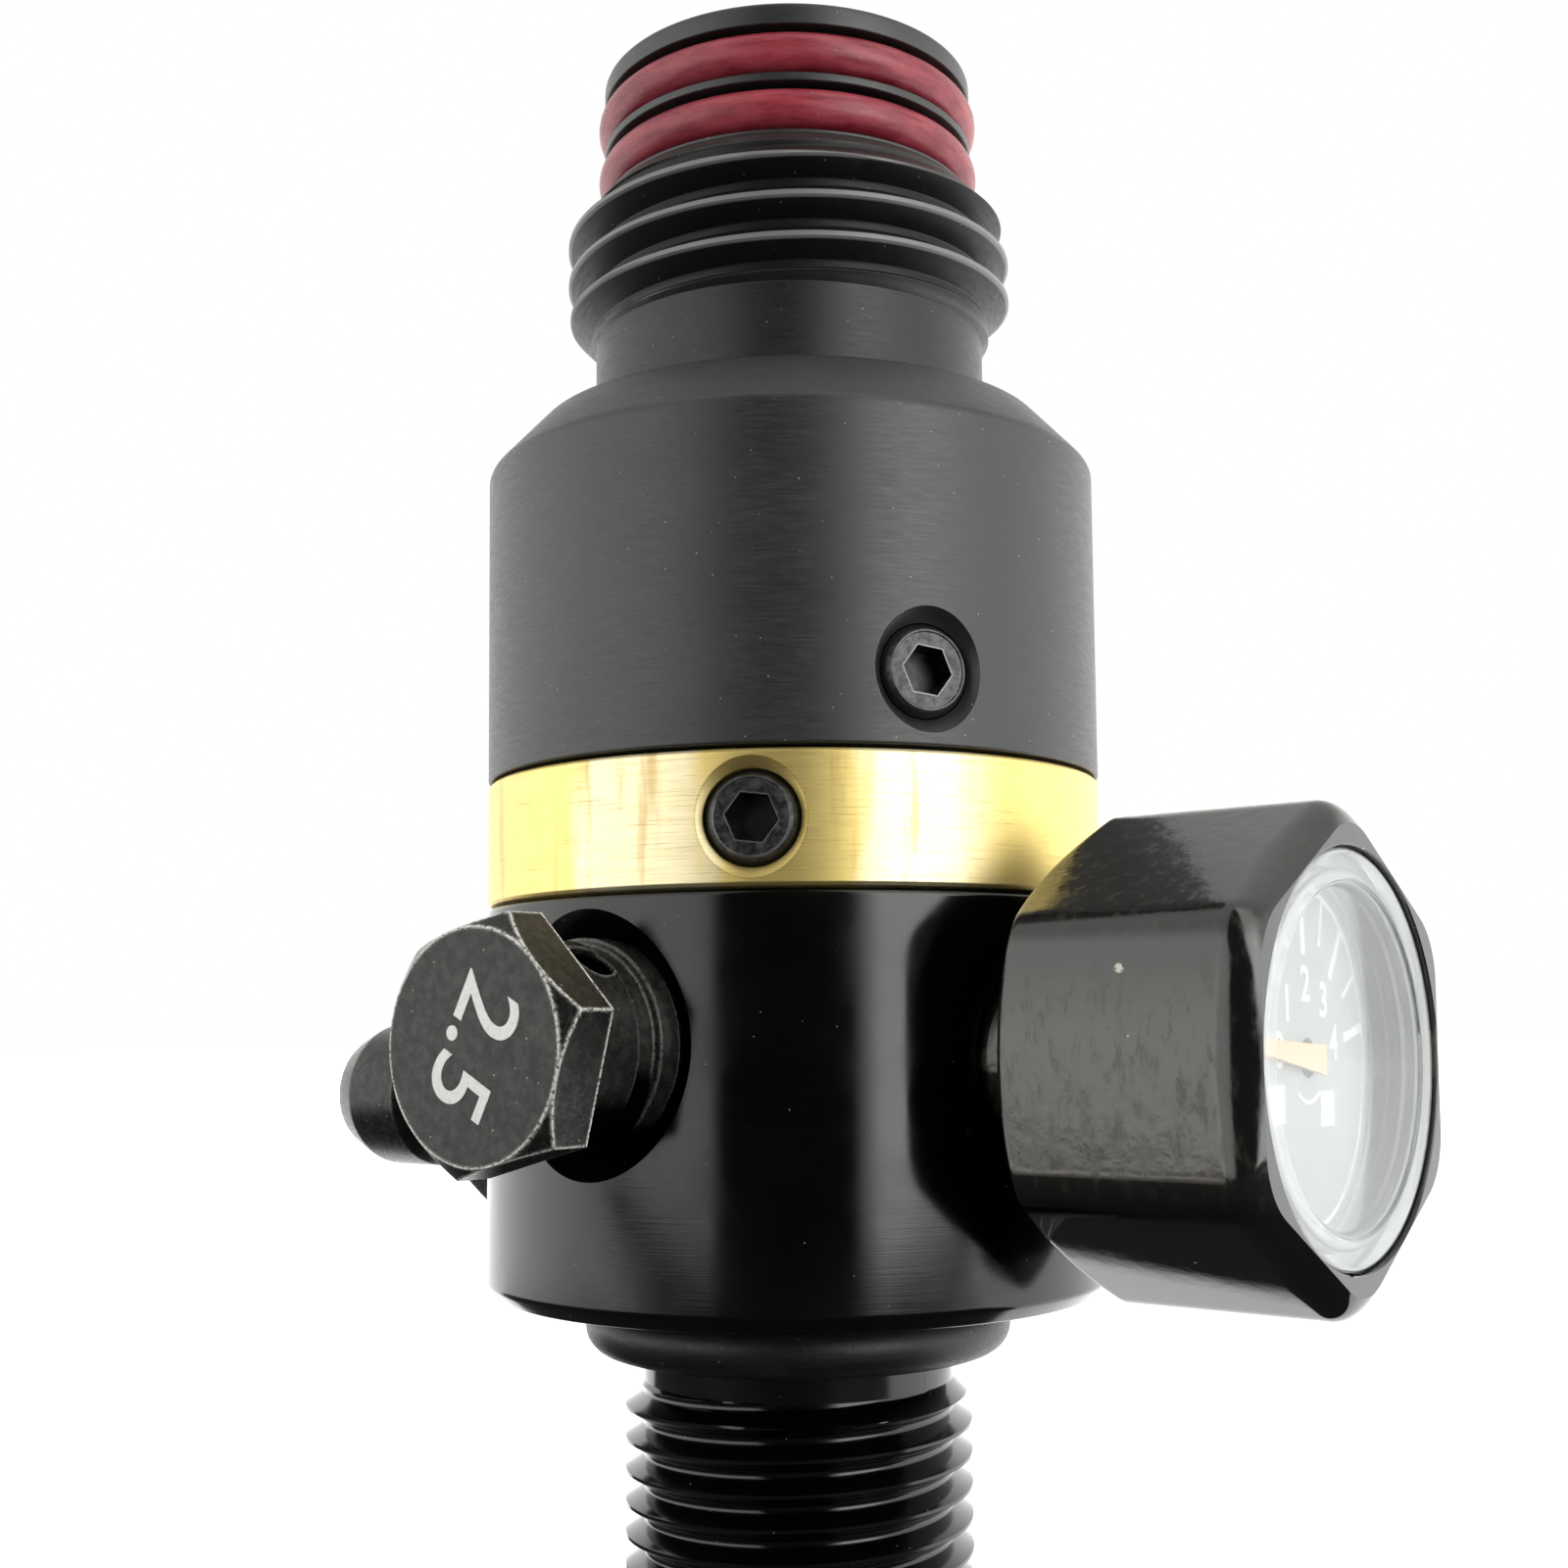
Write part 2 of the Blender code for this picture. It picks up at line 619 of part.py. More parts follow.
def make_valve_body():
    outline = [
        (SPIGOT_RADIUS - SPIGOT_EDGE, SPIGOT_TOP),
        (SPIGOT_RADIUS, SPIGOT_TOP - SPIGOT_EDGE),
        (SPIGOT_RADIUS, BODY_HEIGHT),
        (BODY_RADIUS - BODY_EDGE, BODY_HEIGHT),
        (BODY_RADIUS, BODY_HEIGHT - BODY_EDGE),
        (BODY_RADIUS, BODY_FOOT_CHAMFER),
        (BODY_RADIUS - BODY_FOOT_CHAMFER, 0),
        (RELIEF_RADIUS, 0),
    ]
    outline += thread_outline(
        TANK_THREAD_RADIUS,
        TANK_THREAD_DEPTH,
        TANK_THREAD_PITCH,
        TANK_THREAD_TURNS,
        -RELIEF_LENGTH,
    )
    outline += [
        (TANK_THREAD_RADIUS - 2 * TANK_THREAD_DEPTH, BODY_BOTTOM),
        (INLET_BORE_RADIUS, BODY_BOTTOM),
        (INLET_BORE_RADIUS, CHAMBER_TOP),
    ]
    outline += stem_hole_outline()
    outline += [(POCKET_RADIUS, POCKET_FLOOR), (POCKET_RADIUS, SPIGOT_TOP)]
    body = turned("valve_body", outline, UPRIGHT, "gloss_black", FINE)
    cut(body, pipe_port("gauge", GAUGE_AZIMUTH, GAUGE_HEIGHT))
    cut(body, pipe_port("nipple", NIPPLE_AZIMUTH, NIPPLE_HEIGHT))
    cut(body, plug_port("low_burst", LOW_BURST_AZIMUTH, LOW_BURST_HEIGHT))
    cut(body, plug_port("high_burst", HIGH_BURST_AZIMUTH, HIGH_BURST_HEIGHT))
    for name, azimuth, height in (
        ("gauge", GAUGE_AZIMUTH, GAUGE_HEIGHT),
        ("nipple", NIPPLE_AZIMUTH, NIPPLE_HEIGHT),
        ("high_burst", HIGH_BURST_AZIMUTH, HIGH_BURST_HEIGHT),
    ):
        frame = port_frame(azimuth, height)
        cut(body, high_pressure_drilling(f"{name}_drilling", frame, height))
    inner = (0, RELAY_MIDDLE - LOW_BURST_HEIGHT, STEM_HOLE_RADIUS + RELAY_RING_DEPTH / 2)
    outer = (0, 0, PORT_FLOOR + GAP)
    frame = port_frame(LOW_BURST_AZIMUTH, LOW_BURST_HEIGHT)
    cut(body, drilling("low_burst_drilling", inner, outer, DRILLING_RADIUS, frame))


def make_tank_end():
    height = -GAP / 2 - NECK_ORING_SECTION / 2
    radius = RELIEF_RADIUS + GAP / 2 + NECK_ORING_SECTION / 2
    seal("tank_neck_oring", radius, NECK_ORING_SECTION, height, "black_rubber", segments=FINE)
    low = BODY_BOTTOM + FILTER_INSET
    radius = INLET_BORE_RADIUS - GAP
    outline = disc_outline(radius, low, low + FILTER_THICKNESS)
    turned("inlet_filter", outline, UPRIGHT, "sintered_bronze", COARSE)


def make_seat():
    radius = INLET_BORE_RADIUS - GAP
    pocket_radius = SEAT_RADIUS + GAP
    pocket_floor = CARRIER_TOP - SEAT_DEPTH + GAP
    outline = [
        (0, pocket_floor),
        (pocket_radius, pocket_floor),
        (pocket_radius, CARRIER_TOP),
        (radius, CARRIER_TOP),
        (radius, CARRIER_TOP - CARRIER_THICKNESS),
        (0, CARRIER_TOP - CARRIER_THICKNESS),
    ]
    carrier = turned("seat_carrier", outline, UPRIGHT, "brass")
    feed_ring = (radius + pocket_radius) / 2
    for index in range(CARRIER_FEEDS):
        angle = TURN * (index + 0.5) / CARRIER_FEEDS
        spot = (feed_ring * math.cos(angle), feed_ring * math.sin(angle))
        start = (*spot, CARRIER_TOP - CARRIER_THICKNESS - GAP)
        end = (*spot, CARRIER_TOP + GAP)
        cut(carrier, drilling(f"feed_{index}", start, end, CARRIER_FEED_RADIUS, UPRIGHT))
    outline = disc_outline(SEAT_RADIUS, pocket_floor + GAP, SEAT_TOP)
    turned("seat", outline, UPRIGHT, "white_plastic", COARSE)


# Piston and its springs


def make_piston():
    head_top = PISTON_TOP
    groove_top = PISTON_GROOVE + GROOVE_HEIGHT
    outline = [
        (PISTON_RADIUS - PISTON_EDGE, head_top),
        (PISTON_RADIUS, head_top - PISTON_EDGE),
        (PISTON_RADIUS, groove_top),
        (PISTON_GROOVE_RADIUS, groove_top),
        (PISTON_GROOVE_RADIUS, PISTON_GROOVE),
        (PISTON_RADIUS, PISTON_GROOVE),
        (PISTON_RADIUS, PISTON_HEAD_BOTTOM),
        (STEM_RADIUS, PISTON_HEAD_BOTTOM),
        (STEM_RADIUS, STEM_TIP + STEM_TIP_LENGTH),
        ((STEM_RADIUS + STEM_BORE_RADIUS) / 2, STEM_TIP),
        (STEM_BORE_RADIUS, STEM_TIP),
        (STEM_BORE_RADIUS, head_top),
    ]
    piston = turned("piston", outline, UPRIGHT, "steel")
    start = (-2 * STEM_RADIUS, 0, RELAY_MIDDLE)
    end = (2 * STEM_RADIUS, 0, RELAY_MIDDLE)
    cut(piston, drilling("stem_cross_hole", start, end, STEM_CROSS_HOLE_RADIUS, UPRIGHT))
    middle = PISTON_GROOVE + GROOVE_HEIGHT / 2
    seal("piston_oring", PISTON_SEAL_RADIUS, SEAL_SECTION, middle, "black_rubber")
    for name, groove in (("lower_stem_oring", LOWER_GROOVE), ("upper_stem_oring", UPPER_GROOVE)):
        middle = groove + GROOVE_HEIGHT / 2
        seal(name, STEM_SEAL_RADIUS, SEAL_SECTION, middle, "black_rubber", segments=COARSE)


def make_spring_washers():
    """Coned washers stacked in alternate directions between the pocket's floor and the piston's head."""
    pitch = (PISTON_HEAD_BOTTOM - POCKET_FLOOR - GAP) / WASHER_COUNT
    cone = pitch - GAP - WASHER_THICKNESS
    inner = STEM_RADIUS + GAP
    for index in range(WASHER_COUNT):
        low = POCKET_FLOOR + GAP + index * pitch
        rim, eye = (low, low + cone) if index % 2 == 0 else (low + cone, low)
        outline = [
            (WASHER_RADIUS, rim + WASHER_THICKNESS),
            (WASHER_RADIUS, rim),
            (inner, eye),
            (inner, eye + WASHER_THICKNESS),
        ]
        turned(f"spring_washer_{index + 1}", outline, UPRIGHT, "steel", MEDIUM)


# Jam ring, bonnet and their set screws


def screw_hole(name, azimuth, height):
    """Cutters for a set screw's hole and for its flared mouth."""
    frame = port_frame(azimuth, height)
    bore = turned(f"{name}_hole", disc_outline(SCREW_HOLE_RADIUS, PORT_FLOOR, OUTSIDE), frame)
    flare = [
        (0, BODY_RADIUS + SCREW_HOLE_FLARE),
        (SCREW_HOLE_RADIUS + 2 * SCREW_HOLE_FLARE, BODY_RADIUS + SCREW_HOLE_FLARE),
        (SCREW_HOLE_RADIUS, BODY_RADIUS - SCREW_HOLE_FLARE),
        (0, BODY_RADIUS - SCREW_HOLE_FLARE),
    ]
    return bore, turned(f"{name}_flare", flare, frame)


def make_set_screw(name, azimuth, height):
    frame = port_frame(azimuth, height)
    head = BODY_RADIUS - SCREW_RECESS
    outline = disc_outline(SCREW_RADIUS, SPIGOT_RADIUS + GAP, head, SCREW_EDGE)
    screw = turned(name, outline, frame, "gloss_black", COARSE)
    floor = head - SCREW_SOCKET_DEPTH
    cut(screw, prism(f"{name}_socket", SCREW_SOCKET, floor, head + GAP, 0.0, frame))


def make_lock_ring():
    outline = ring_outline(BODY_RADIUS, RING_BORE_RADIUS, RING_BOTTOM, RING_TOP, RING_EDGE)
    ring = turned("lock_ring", outline, UPRIGHT, "brass", FINE)
    cut(ring, *screw_hole("ring_screw", RING_SCREW_AZIMUTH, RING_SCREW_HEIGHT))
    make_set_screw("ring_set_screw", RING_SCREW_AZIMUTH, RING_SCREW_HEIGHT)


def nose_outline():
    """Outside of the nose, from its top down to the ledge."""
    lands = []
    for groove in (UPPER_NOSE_GROOVE, LOWER_NOSE_GROOVE):
        top = groove + NOSE_GROOVE_HEIGHT
        lands += [
            (NOSE_RADIUS, top),
            (NOSE_GROOVE_RADIUS, top),
            (NOSE_GROOVE_RADIUS, groove),
            (NOSE_RADIUS, groove),
        ]
    outline = [(NOSE_RADIUS - NOSE_EDGE, NOSE_TOP), (NOSE_RADIUS, NOSE_TOP - NOSE_EDGE)] + lands
    outline += thread_outline(
        NOSE_THREAD_RADIUS,
        NOSE_THREAD_DEPTH,
        NOSE_THREAD_PITCH,
        NOSE_THREAD_TURNS,
        NOSE_THREAD_TOP,
    )
    return outline + [(NECK_RADIUS, NECK_TOP), (NECK_RADIUS, LEDGE_HEIGHT)]


def make_bonnet():
    outline = nose_outline() + [
        (BONNET_LEDGE_RADIUS, LEDGE_HEIGHT),
        (BODY_RADIUS, CONE_BOTTOM),
        (BODY_RADIUS, BONNET_BOTTOM + BONNET_EDGE),
        (BODY_RADIUS - BONNET_EDGE, BONNET_BOTTOM),
        (RING_BORE_RADIUS, BONNET_BOTTOM),
        (RING_BORE_RADIUS, SPIGOT_TOP + GAP),
        (CHAMBER_RADIUS, SPIGOT_TOP + GAP),
        (CHAMBER_RADIUS, CHAMBER_ROOF),
        (OUTLET_RADIUS, CHAMBER_ROOF),
        (OUTLET_RADIUS, PIN_VALVE_SEAT),
        (NOSE_BORE_RADIUS, PIN_VALVE_SEAT),
        (NOSE_BORE_RADIUS, NOSE_TOP - NOSE_EDGE),
        (NOSE_BORE_RADIUS + NOSE_EDGE, NOSE_TOP),
    ]
    bonnet = turned("bonnet", outline, UPRIGHT, "matte_black", FINE)
    cut(bonnet, *screw_hole("bonnet_screw", BONNET_SCREW_AZIMUTH, BONNET_SCREW_HEIGHT))
    make_set_screw("bonnet_set_screw", BONNET_SCREW_AZIMUTH, BONNET_SCREW_HEIGHT)
    for name, groove in (
        ("nose_oring_upper", UPPER_NOSE_GROOVE),
        ("nose_oring_lower", LOWER_NOSE_GROOVE),
    ):
        middle = groove + NOSE_GROOVE_HEIGHT / 2
        seal(name, NOSE_SEAL_RADIUS, SEAL_SECTION, middle, "red_rubber", segments=FINE)


# Pin valve


def make_retainer(name, radius, low, frame):
    """A disc with a hole, which a spring stands on."""
    outline = ring_outline(radius, RETAINER_HOLE_RADIUS, low, low + RETAINER_THICKNESS)
    turned(name, outline, frame, "brass", COARSE)


def make_pin_valve():
    pin_hole = PIN_RADIUS + PIN_HOLE_CLEARANCE
    outline = [
        (PIN_VALVE_RADIUS - NOSE_EDGE, PIN_VALVE_TOP),
        (PIN_VALVE_RADIUS, PIN_VALVE_TOP - NOSE_EDGE),
        (PIN_VALVE_RADIUS, PIN_VALVE_BOTTOM),
        (PIN_CHAMBER_RADIUS, PIN_VALVE_BOTTOM),
        (PIN_CHAMBER_RADIUS, PIN_CHAMBER_ROOF),
        (pin_hole, PIN_CHAMBER_ROOF),
        (pin_hole, PIN_VALVE_TOP),
    ]
    body = turned("pin_valve_body", outline, UPRIGHT, "brass")
    slot = (4 * PIN_VALVE_RADIUS, PIN_VALVE_SLOT_WIDTH, 2 * PIN_VALVE_SLOT_DEPTH)
    cut(body, box("pin_valve_slot", slot, (0, 0, PIN_VALVE_TOP)))
    low = PIN_VALVE_BOTTOM - GAP - PIN_WASHER_THICKNESS
    outline = ring_outline(PIN_VALVE_RADIUS, OUTLET_RADIUS, low, PIN_VALVE_BOTTOM - GAP)
    turned("pin_valve_washer", outline, UPRIGHT, "copper", COARSE)

    flange = PIN_CHAMBER_RADIUS - GAP
    tail_end = PIN_VALVE_BOTTOM + GAP + RETAINER_THICKNESS + GAP + PIN_TRAVEL
    outline = [
        (0, NOSE_TOP - PIN_BELOW_NOSE),
        (PIN_RADIUS, NOSE_TOP - PIN_BELOW_NOSE),
        (PIN_RADIUS, PIN_FLANGE_TOP),
        (flange, PIN_FLANGE_TOP),
        (flange, PIN_FLANGE_BOTTOM),
        (PIN_TAIL_RADIUS, PIN_FLANGE_BOTTOM),
        (PIN_TAIL_RADIUS, tail_end),
        (0, tail_end),
    ]
    turned("valve_pin", outline, UPRIGHT, "steel", COARSE)
    outline = ring_outline(flange, PIN_RADIUS + GAP, PIN_FLANGE_TOP + GAP, PIN_SEAL_TOP)
    turned("pin_seal", outline, UPRIGHT, "white_plastic", COARSE)
    make_retainer("pin_spring_retainer", flange, PIN_VALVE_BOTTOM + GAP, UPRIGHT)
    low = PIN_VALVE_BOTTOM + GAP + RETAINER_THICKNESS + GAP
    radius = flange - GAP - SPRING_WIRE_RADIUS
    coil(
        "pin_spring",
        radius,
        low,
        PIN_FLANGE_BOTTOM - GAP,
        SPRING_TURNS,
        SPRING_WIRE_RADIUS,
        UPRIGHT,
        "steel",
    )


# Gauge


def make_gauge_case(frame):
    size = (CASE_ACROSS_FLATS, CASE_BACK, CASE_FRONT)
    case = prism("gauge_case", *size, CASE_TURN, frame, "gloss_black", CASE_CORNER)
    corner_radius = CASE_ACROSS_FLATS / 2 / math.cos(math.pi / 6)
    back_radius = CASE_ACROSS_FLATS / 2 - CASE_BACK_CHAMFER
    front_radius = CASE_ACROSS_FLATS / 2 + CASE_FRONT_EDGE / 2
    envelope = [
        (0, CASE_FRONT),
        (front_radius, CASE_FRONT),
        (corner_radius, CASE_FRONT - (corner_radius - front_radius) * CASE_FRONT_SLOPE),
        (corner_radius, CASE_BACK + (corner_radius - back_radius) * CASE_BACK_SLOPE),
        (back_radius, CASE_BACK),
        (0, CASE_BACK),
    ]
    combine(case, turned("case_envelope", envelope, frame, None, FINE), "INTERSECT")
    cavity = disc_outline(CASE_BORE_RADIUS, CASE_CAVITY, OUTSIDE)
    cut(case, turned("case_cavity", cavity, frame, None, FINE))
    post_hole = disc_outline(GAUGE_POST_RADIUS + GAP, CASE_BACK - GAP, CASE_FRONT)
    cut(case, turned("case_post_hole", post_hole, frame))


def make_gauge_stem(frame):
    outline = [
        (GAUGE_POST_RADIUS, POST_TOP),
        (GAUGE_POST_RADIUS, CASE_BACK - GAP),
        (GAUGE_COLLAR_RADIUS, CASE_BACK - GAP),
        (GAUGE_COLLAR_RADIUS, GAUGE_COLLAR_BACK),
        (PIPE_RADIUS, GAUGE_COLLAR_BACK),
        (PIPE_RADIUS, PIPE_END),
        (GAUGE_STEM_BORE, PIPE_END),
        (GAUGE_STEM_BORE, POST_TOP - GAUGE_STEM_BORE),
        (0, POST_TOP - GAUGE_STEM_BORE),
    ]
    turned("gauge_stem", [(0, POST_TOP)] + outline, frame, "gloss_black")


def make_bourdon_tube(frame):
    """A coiled tube that rises from the post to just under the dial."""
    low = POST_TOP + GAP + BOURDON_TUBE_RADIUS
    high = DIAL_FRONT - DIAL_THICKNESS - GAP - BOURDON_TUBE_RADIUS
    route = [(GAUGE_POST_RADIUS / 2, 0, low)]
    count = round(BOURDON_TURNS * BOURDON_POINTS_PER_TURN)
    for step in range(count + 1):
        angle = TURN * BOURDON_TURNS * step / count
        height = low + (high - low) * step / count
        route.append((BOURDON_RADIUS * math.cos(angle), BOURDON_RADIUS * math.sin(angle), height))
    last = Vector(route[-1])
    inner = ARBOR_RADIUS + GAP + BOURDON_TUBE_RADIUS
    inwards = Vector((last.x, last.y, 0)).normalized() * inner
    route.append((inwards.x, inwards.y, last.z))
    wire("bourdon_tube", route, BOURDON_TUBE_RADIUS, frame, "brass")


def make_gauge_face(frame):
    radius = CASE_BORE_RADIUS - GAP
    outline = ring_outline(radius, ARBOR_RADIUS + GAP, DIAL_FRONT - DIAL_THICKNESS, DIAL_FRONT)
    turned("gauge_dial", outline, frame, "dial_grey", FINE)
    outline = [
        (0, LENS_FRONT),
        (radius - LENS_EDGE, LENS_FRONT),
        (radius, LENS_FRONT - LENS_EDGE),
        (radius, DIAL_FRONT + GAP),
        (radius - LENS_SKIRT, DIAL_FRONT + GAP),
        (radius - LENS_SKIRT, LENS_FRONT - LENS_THICKNESS),
        (0, LENS_FRONT - LENS_THICKNESS),
    ]
    turned("gauge_lens", outline, frame, "clear", FINE)
    outline = disc_outline(ARBOR_RADIUS, POST_TOP + GAP, DIAL_FRONT)
    turned("pointer_arbor", outline, frame, "steel", COARSE)
    make_pointer(frame)


def make_pointer(frame):
    """A flat tapered hand on a small round hub, drawn as a filled outline and thickened."""
    bottom = DIAL_FRONT + GAP
    hub = disc_outline(POINTER_HUB_RADIUS, bottom, bottom + POINTER_THICKNESS)
    pointer = turned("gauge_pointer", hub, frame, "pointer_orange", COARSE)
    outline = [
        (POINTER_LENGTH, POINTER_TIP_WIDTH / 2),
        (-POINTER_TAIL, POINTER_WIDTH / 2),
        (-POINTER_TAIL, -POINTER_WIDTH / 2),
        (POINTER_LENGTH, -POINTER_TIP_WIDTH / 2),
    ]
    shape = bmesh.new()
    corners = [shape.verts.new((x * MM, y * MM, bottom * MM)) for x, y in outline]
    face = shape.faces.new(corners)
    raised = bmesh.ops.extrude_face_region(shape, geom=[face])
    top = [item for item in raised["geom"] if isinstance(item, bmesh.types.BMVert)]
    bmesh.ops.translate(shape, vec=(0, 0, POINTER_THICKNESS * MM), verts=top)
    bmesh.ops.recalc_face_normals(shape, faces=shape.faces)
    bmesh.ops.rotate(
        shape,
        cent=(0, 0, 0),
        matrix=Matrix.Rotation(math.radians(POINTER_ANGLE), 3, "Z"),
        verts=shape.verts,
    )
    mesh = bpy.data.meshes.new("pointer_hand")
    shape.to_mesh(mesh)
    shape.free()
    combine(pointer, place("pointer_hand", mesh, frame, None), "UNION")


def make_gauge():
    frame = port_frame(GAUGE_AZIMUTH, GAUGE_HEIGHT)
    make_gauge_case(frame)
    make_gauge_stem(frame)
    make_bourdon_tube(frame)
    make_gauge_face(frame)


# Burst plugs


def chamfered_hex(name, across_flats, low, high, turn, chamfer, frame, finish):
    """A hexagonal bar whose front corners are turned off."""
    bar = prism(name, across_flats, low, high, turn, frame, finish)
    face_radius = across_flats / 2
    corner_radius = face_radius / math.cos(math.pi / 6)
    outside = corner_radius + GAP
    slope = chamfer / (corner_radius - face_radius)
    envelope = [
        (0, high),
        (face_radius, high),
        (outside, high - slope * (outside - face_radius)),
        (outside, low - GAP),
        (0, low - GAP),
    ]
    combine(bar, turned(f"{name}_envelope", envelope, frame, None, MEDIUM), "INTERSECT")
    return bar


def make_burst_plug(name, azimuth, height):
    frame = port_frame(azimuth, height)
    head_back = PLUG_HEAD_FRONT - PLUG_HEAD_THICKNESS
    washer_low = PORT_FLOOR + GAP
    disc_low = washer_low + BURST_WASHER_THICKNESS + GAP
    plug_end = disc_low + BURST_DISC_THICKNESS + GAP
    flange_front = PLUG_FLANGE_BACK + PLUG_FLANGE_THICKNESS
    plug = chamfered_hex(
        f"{name}_plug",
        PLUG_ACROSS_FLATS,
        head_back,
        PLUG_HEAD_FRONT,
        PLUG_TURN,
        PLUG_FACE_CHAMFER,
        frame,
        "bronze_black",
    )
    shank = [
        (0, head_back + PLUG_HEAD_THICKNESS / 2),
        (PLUG_COLLAR_RADIUS, head_back + PLUG_HEAD_THICKNESS / 2),
        (PLUG_COLLAR_RADIUS, head_back - PLUG_COLLAR_LENGTH),
        (PLUG_NECK_RADIUS, head_back - PLUG_COLLAR_LENGTH),
        (PLUG_NECK_RADIUS, flange_front),
        (PLUG_FLANGE_RADIUS, flange_front),
        (PLUG_FLANGE_RADIUS, PLUG_FLANGE_BACK),
        (PLUG_THREAD_RADIUS, PLUG_FLANGE_BACK),
        (PLUG_THREAD_RADIUS, plug_end),
        (0, plug_end),
    ]
    combine(plug, turned(f"{name}_shank", shank, frame), "UNION")
    bore_end = PLUG_VENT_DISTANCE + PLUG_VENT_RADIUS / 2
    bore = disc_outline(PLUG_BORE_RADIUS, PORT_FLOOR, bore_end)
    cut(plug, turned(f"{name}_plug_bore", bore, frame, None, COARSE))
    angle = math.radians(PLUG_VENT_ANGLE)
    across = Vector((math.cos(angle), math.sin(angle), 0)) * 2 * PLUG_COLLAR_RADIUS
    lift = Vector((0, 0, PLUG_VENT_DISTANCE))
    cut(plug, drilling(f"{name}_vent", lift - across, lift + across, PLUG_VENT_RADIUS, frame))
    washer_high = washer_low + BURST_WASHER_THICKNESS
    outline = ring_outline(PLUG_THREAD_RADIUS, PLUG_BORE_RADIUS, washer_low, washer_high)
    turned(f"{name}_washer", outline, frame, "white_plastic", COARSE)
    outline = disc_outline(PLUG_THREAD_RADIUS, disc_low, disc_low + BURST_DISC_THICKNESS)
    turned(f"{name}_disc", outline, frame, "copper", COARSE)


# Fill nipple


def make_fill_nipple():
    frame = port_frame(NIPPLE_AZIMUTH, NIPPLE_HEIGHT)
    nipple = chamfered_hex(
        "fill_nipple",
        NIPPLE_ACROSS_FLATS,
        NIPPLE_HEX_BACK,
        NIPPLE_HEX_FRONT,
        NIPPLE_TURN,
        NIPPLE_HEX_CHAMFER,
        frame,
        "bronze_black",
    )
    groove_top = NIPPLE_TIP - NIPPLE_GROOVE_FROM_TIP
    groove_bottom = groove_top - NIPPLE_GROOVE_LENGTH
    slope = NIPPLE_BARREL_RADIUS - NIPPLE_GROOVE_RADIUS
    barrel = [
        (0, NIPPLE_TIP),
        (NIPPLE_TIP_RADIUS, NIPPLE_TIP),
        (NIPPLE_BARREL_RADIUS, NIPPLE_TIP - NIPPLE_TIP_CHAMFER),
        (NIPPLE_BARREL_RADIUS, groove_top),
        (NIPPLE_GROOVE_RADIUS, groove_top - slope),
        (NIPPLE_GROOVE_RADIUS, groove_bottom + slope),
        (NIPPLE_BARREL_RADIUS, groove_bottom),
        (NIPPLE_BARREL_RADIUS, NIPPLE_HEX_BACK + GAP),
        (PIPE_RADIUS, NIPPLE_HEX_BACK + GAP),
        (PIPE_RADIUS, PIPE_END),
        (0, PIPE_END),
    ]
    combine(nipple, turned("nipple_barrel", barrel, frame), "UNION")
    filter_floor = NIPPLE_TIP - NIPPLE_FILTER_THICKNESS - 2 * GAP
    for name, radius, low, high in (
        ("nipple_chamber", NIPPLE_CHAMBER_RADIUS, PORT_FLOOR, NIPPLE_CHAMBER_TOP),
        ("nipple_passage", NIPPLE_PASSAGE_RADIUS, PORT_FLOOR, NIPPLE_TIP),
        ("nipple_filter_recess", NIPPLE_FILTER_RADIUS + GAP, filter_floor, OUTSIDE),
    ):
        cut(nipple, turned(name, disc_outline(radius, low, high), frame, None, COARSE))
    outline = disc_outline(NIPPLE_FILTER_RADIUS, filter_floor + GAP, NIPPLE_TIP - GAP)
    turned("nipple_filter", outline, frame, "sintered_bronze", COARSE)
    make_poppet(frame)


def make_poppet(frame):
    seal_top = NIPPLE_CHAMBER_TOP - GAP
    head_top = seal_top - POPPET_SEAL_SECTION - SEAL_GAP
    head_bottom = head_top - POPPET_HEAD_THICKNESS
    tail_end = head_bottom - POPPET_TAIL_LENGTH
    head_radius = NIPPLE_CHAMBER_RADIUS - GAP
    outline = [
        (0, head_top + POPPET_NOSE_LENGTH),
        (POPPET_NOSE_RADIUS, head_top + POPPET_NOSE_LENGTH),
        (POPPET_NOSE_RADIUS, head_top),
        (head_radius, head_top),
        (head_radius, head_bottom),
        (POPPET_NOSE_RADIUS, head_bottom),
        (POPPET_NOSE_RADIUS, tail_end),
        (0, tail_end),
    ]
    turned("nipple_poppet", outline, frame, "steel", COARSE)
    ring = POPPET_NOSE_RADIUS + SEAL_GAP + POPPET_SEAL_SECTION / 2
    middle = seal_top - POPPET_SEAL_SECTION / 2
    seal("poppet_oring", ring, POPPET_SEAL_SECTION, middle, "black_rubber", frame, COARSE)
    retainer_top = tail_end - POPPET_TRAVEL - GAP
    make_retainer("nipple_spring_retainer", head_radius, retainer_top - RETAINER_THICKNESS, frame)
    radius = head_radius - GAP - SPRING_WIRE_RADIUS
    coil(
        "nipple_spring",
        radius,
        retainer_top + GAP,
        head_bottom - GAP,
        SPRING_TURNS,
        SPRING_WIRE_RADIUS,
        frame,
        "steel",
    )


make_valve_body()
make_tank_end()
make_seat()
make_piston()
make_spring_washers()
make_lock_ring()
make_bonnet()
make_pin_valve()
make_gauge()
make_burst_plug("low_burst", LOW_BURST_AZIMUTH, LOW_BURST_HEIGHT)
make_burst_plug("high_burst", HIGH_BURST_AZIMUTH, HIGH_BURST_HEIGHT)
make_fill_nipple()
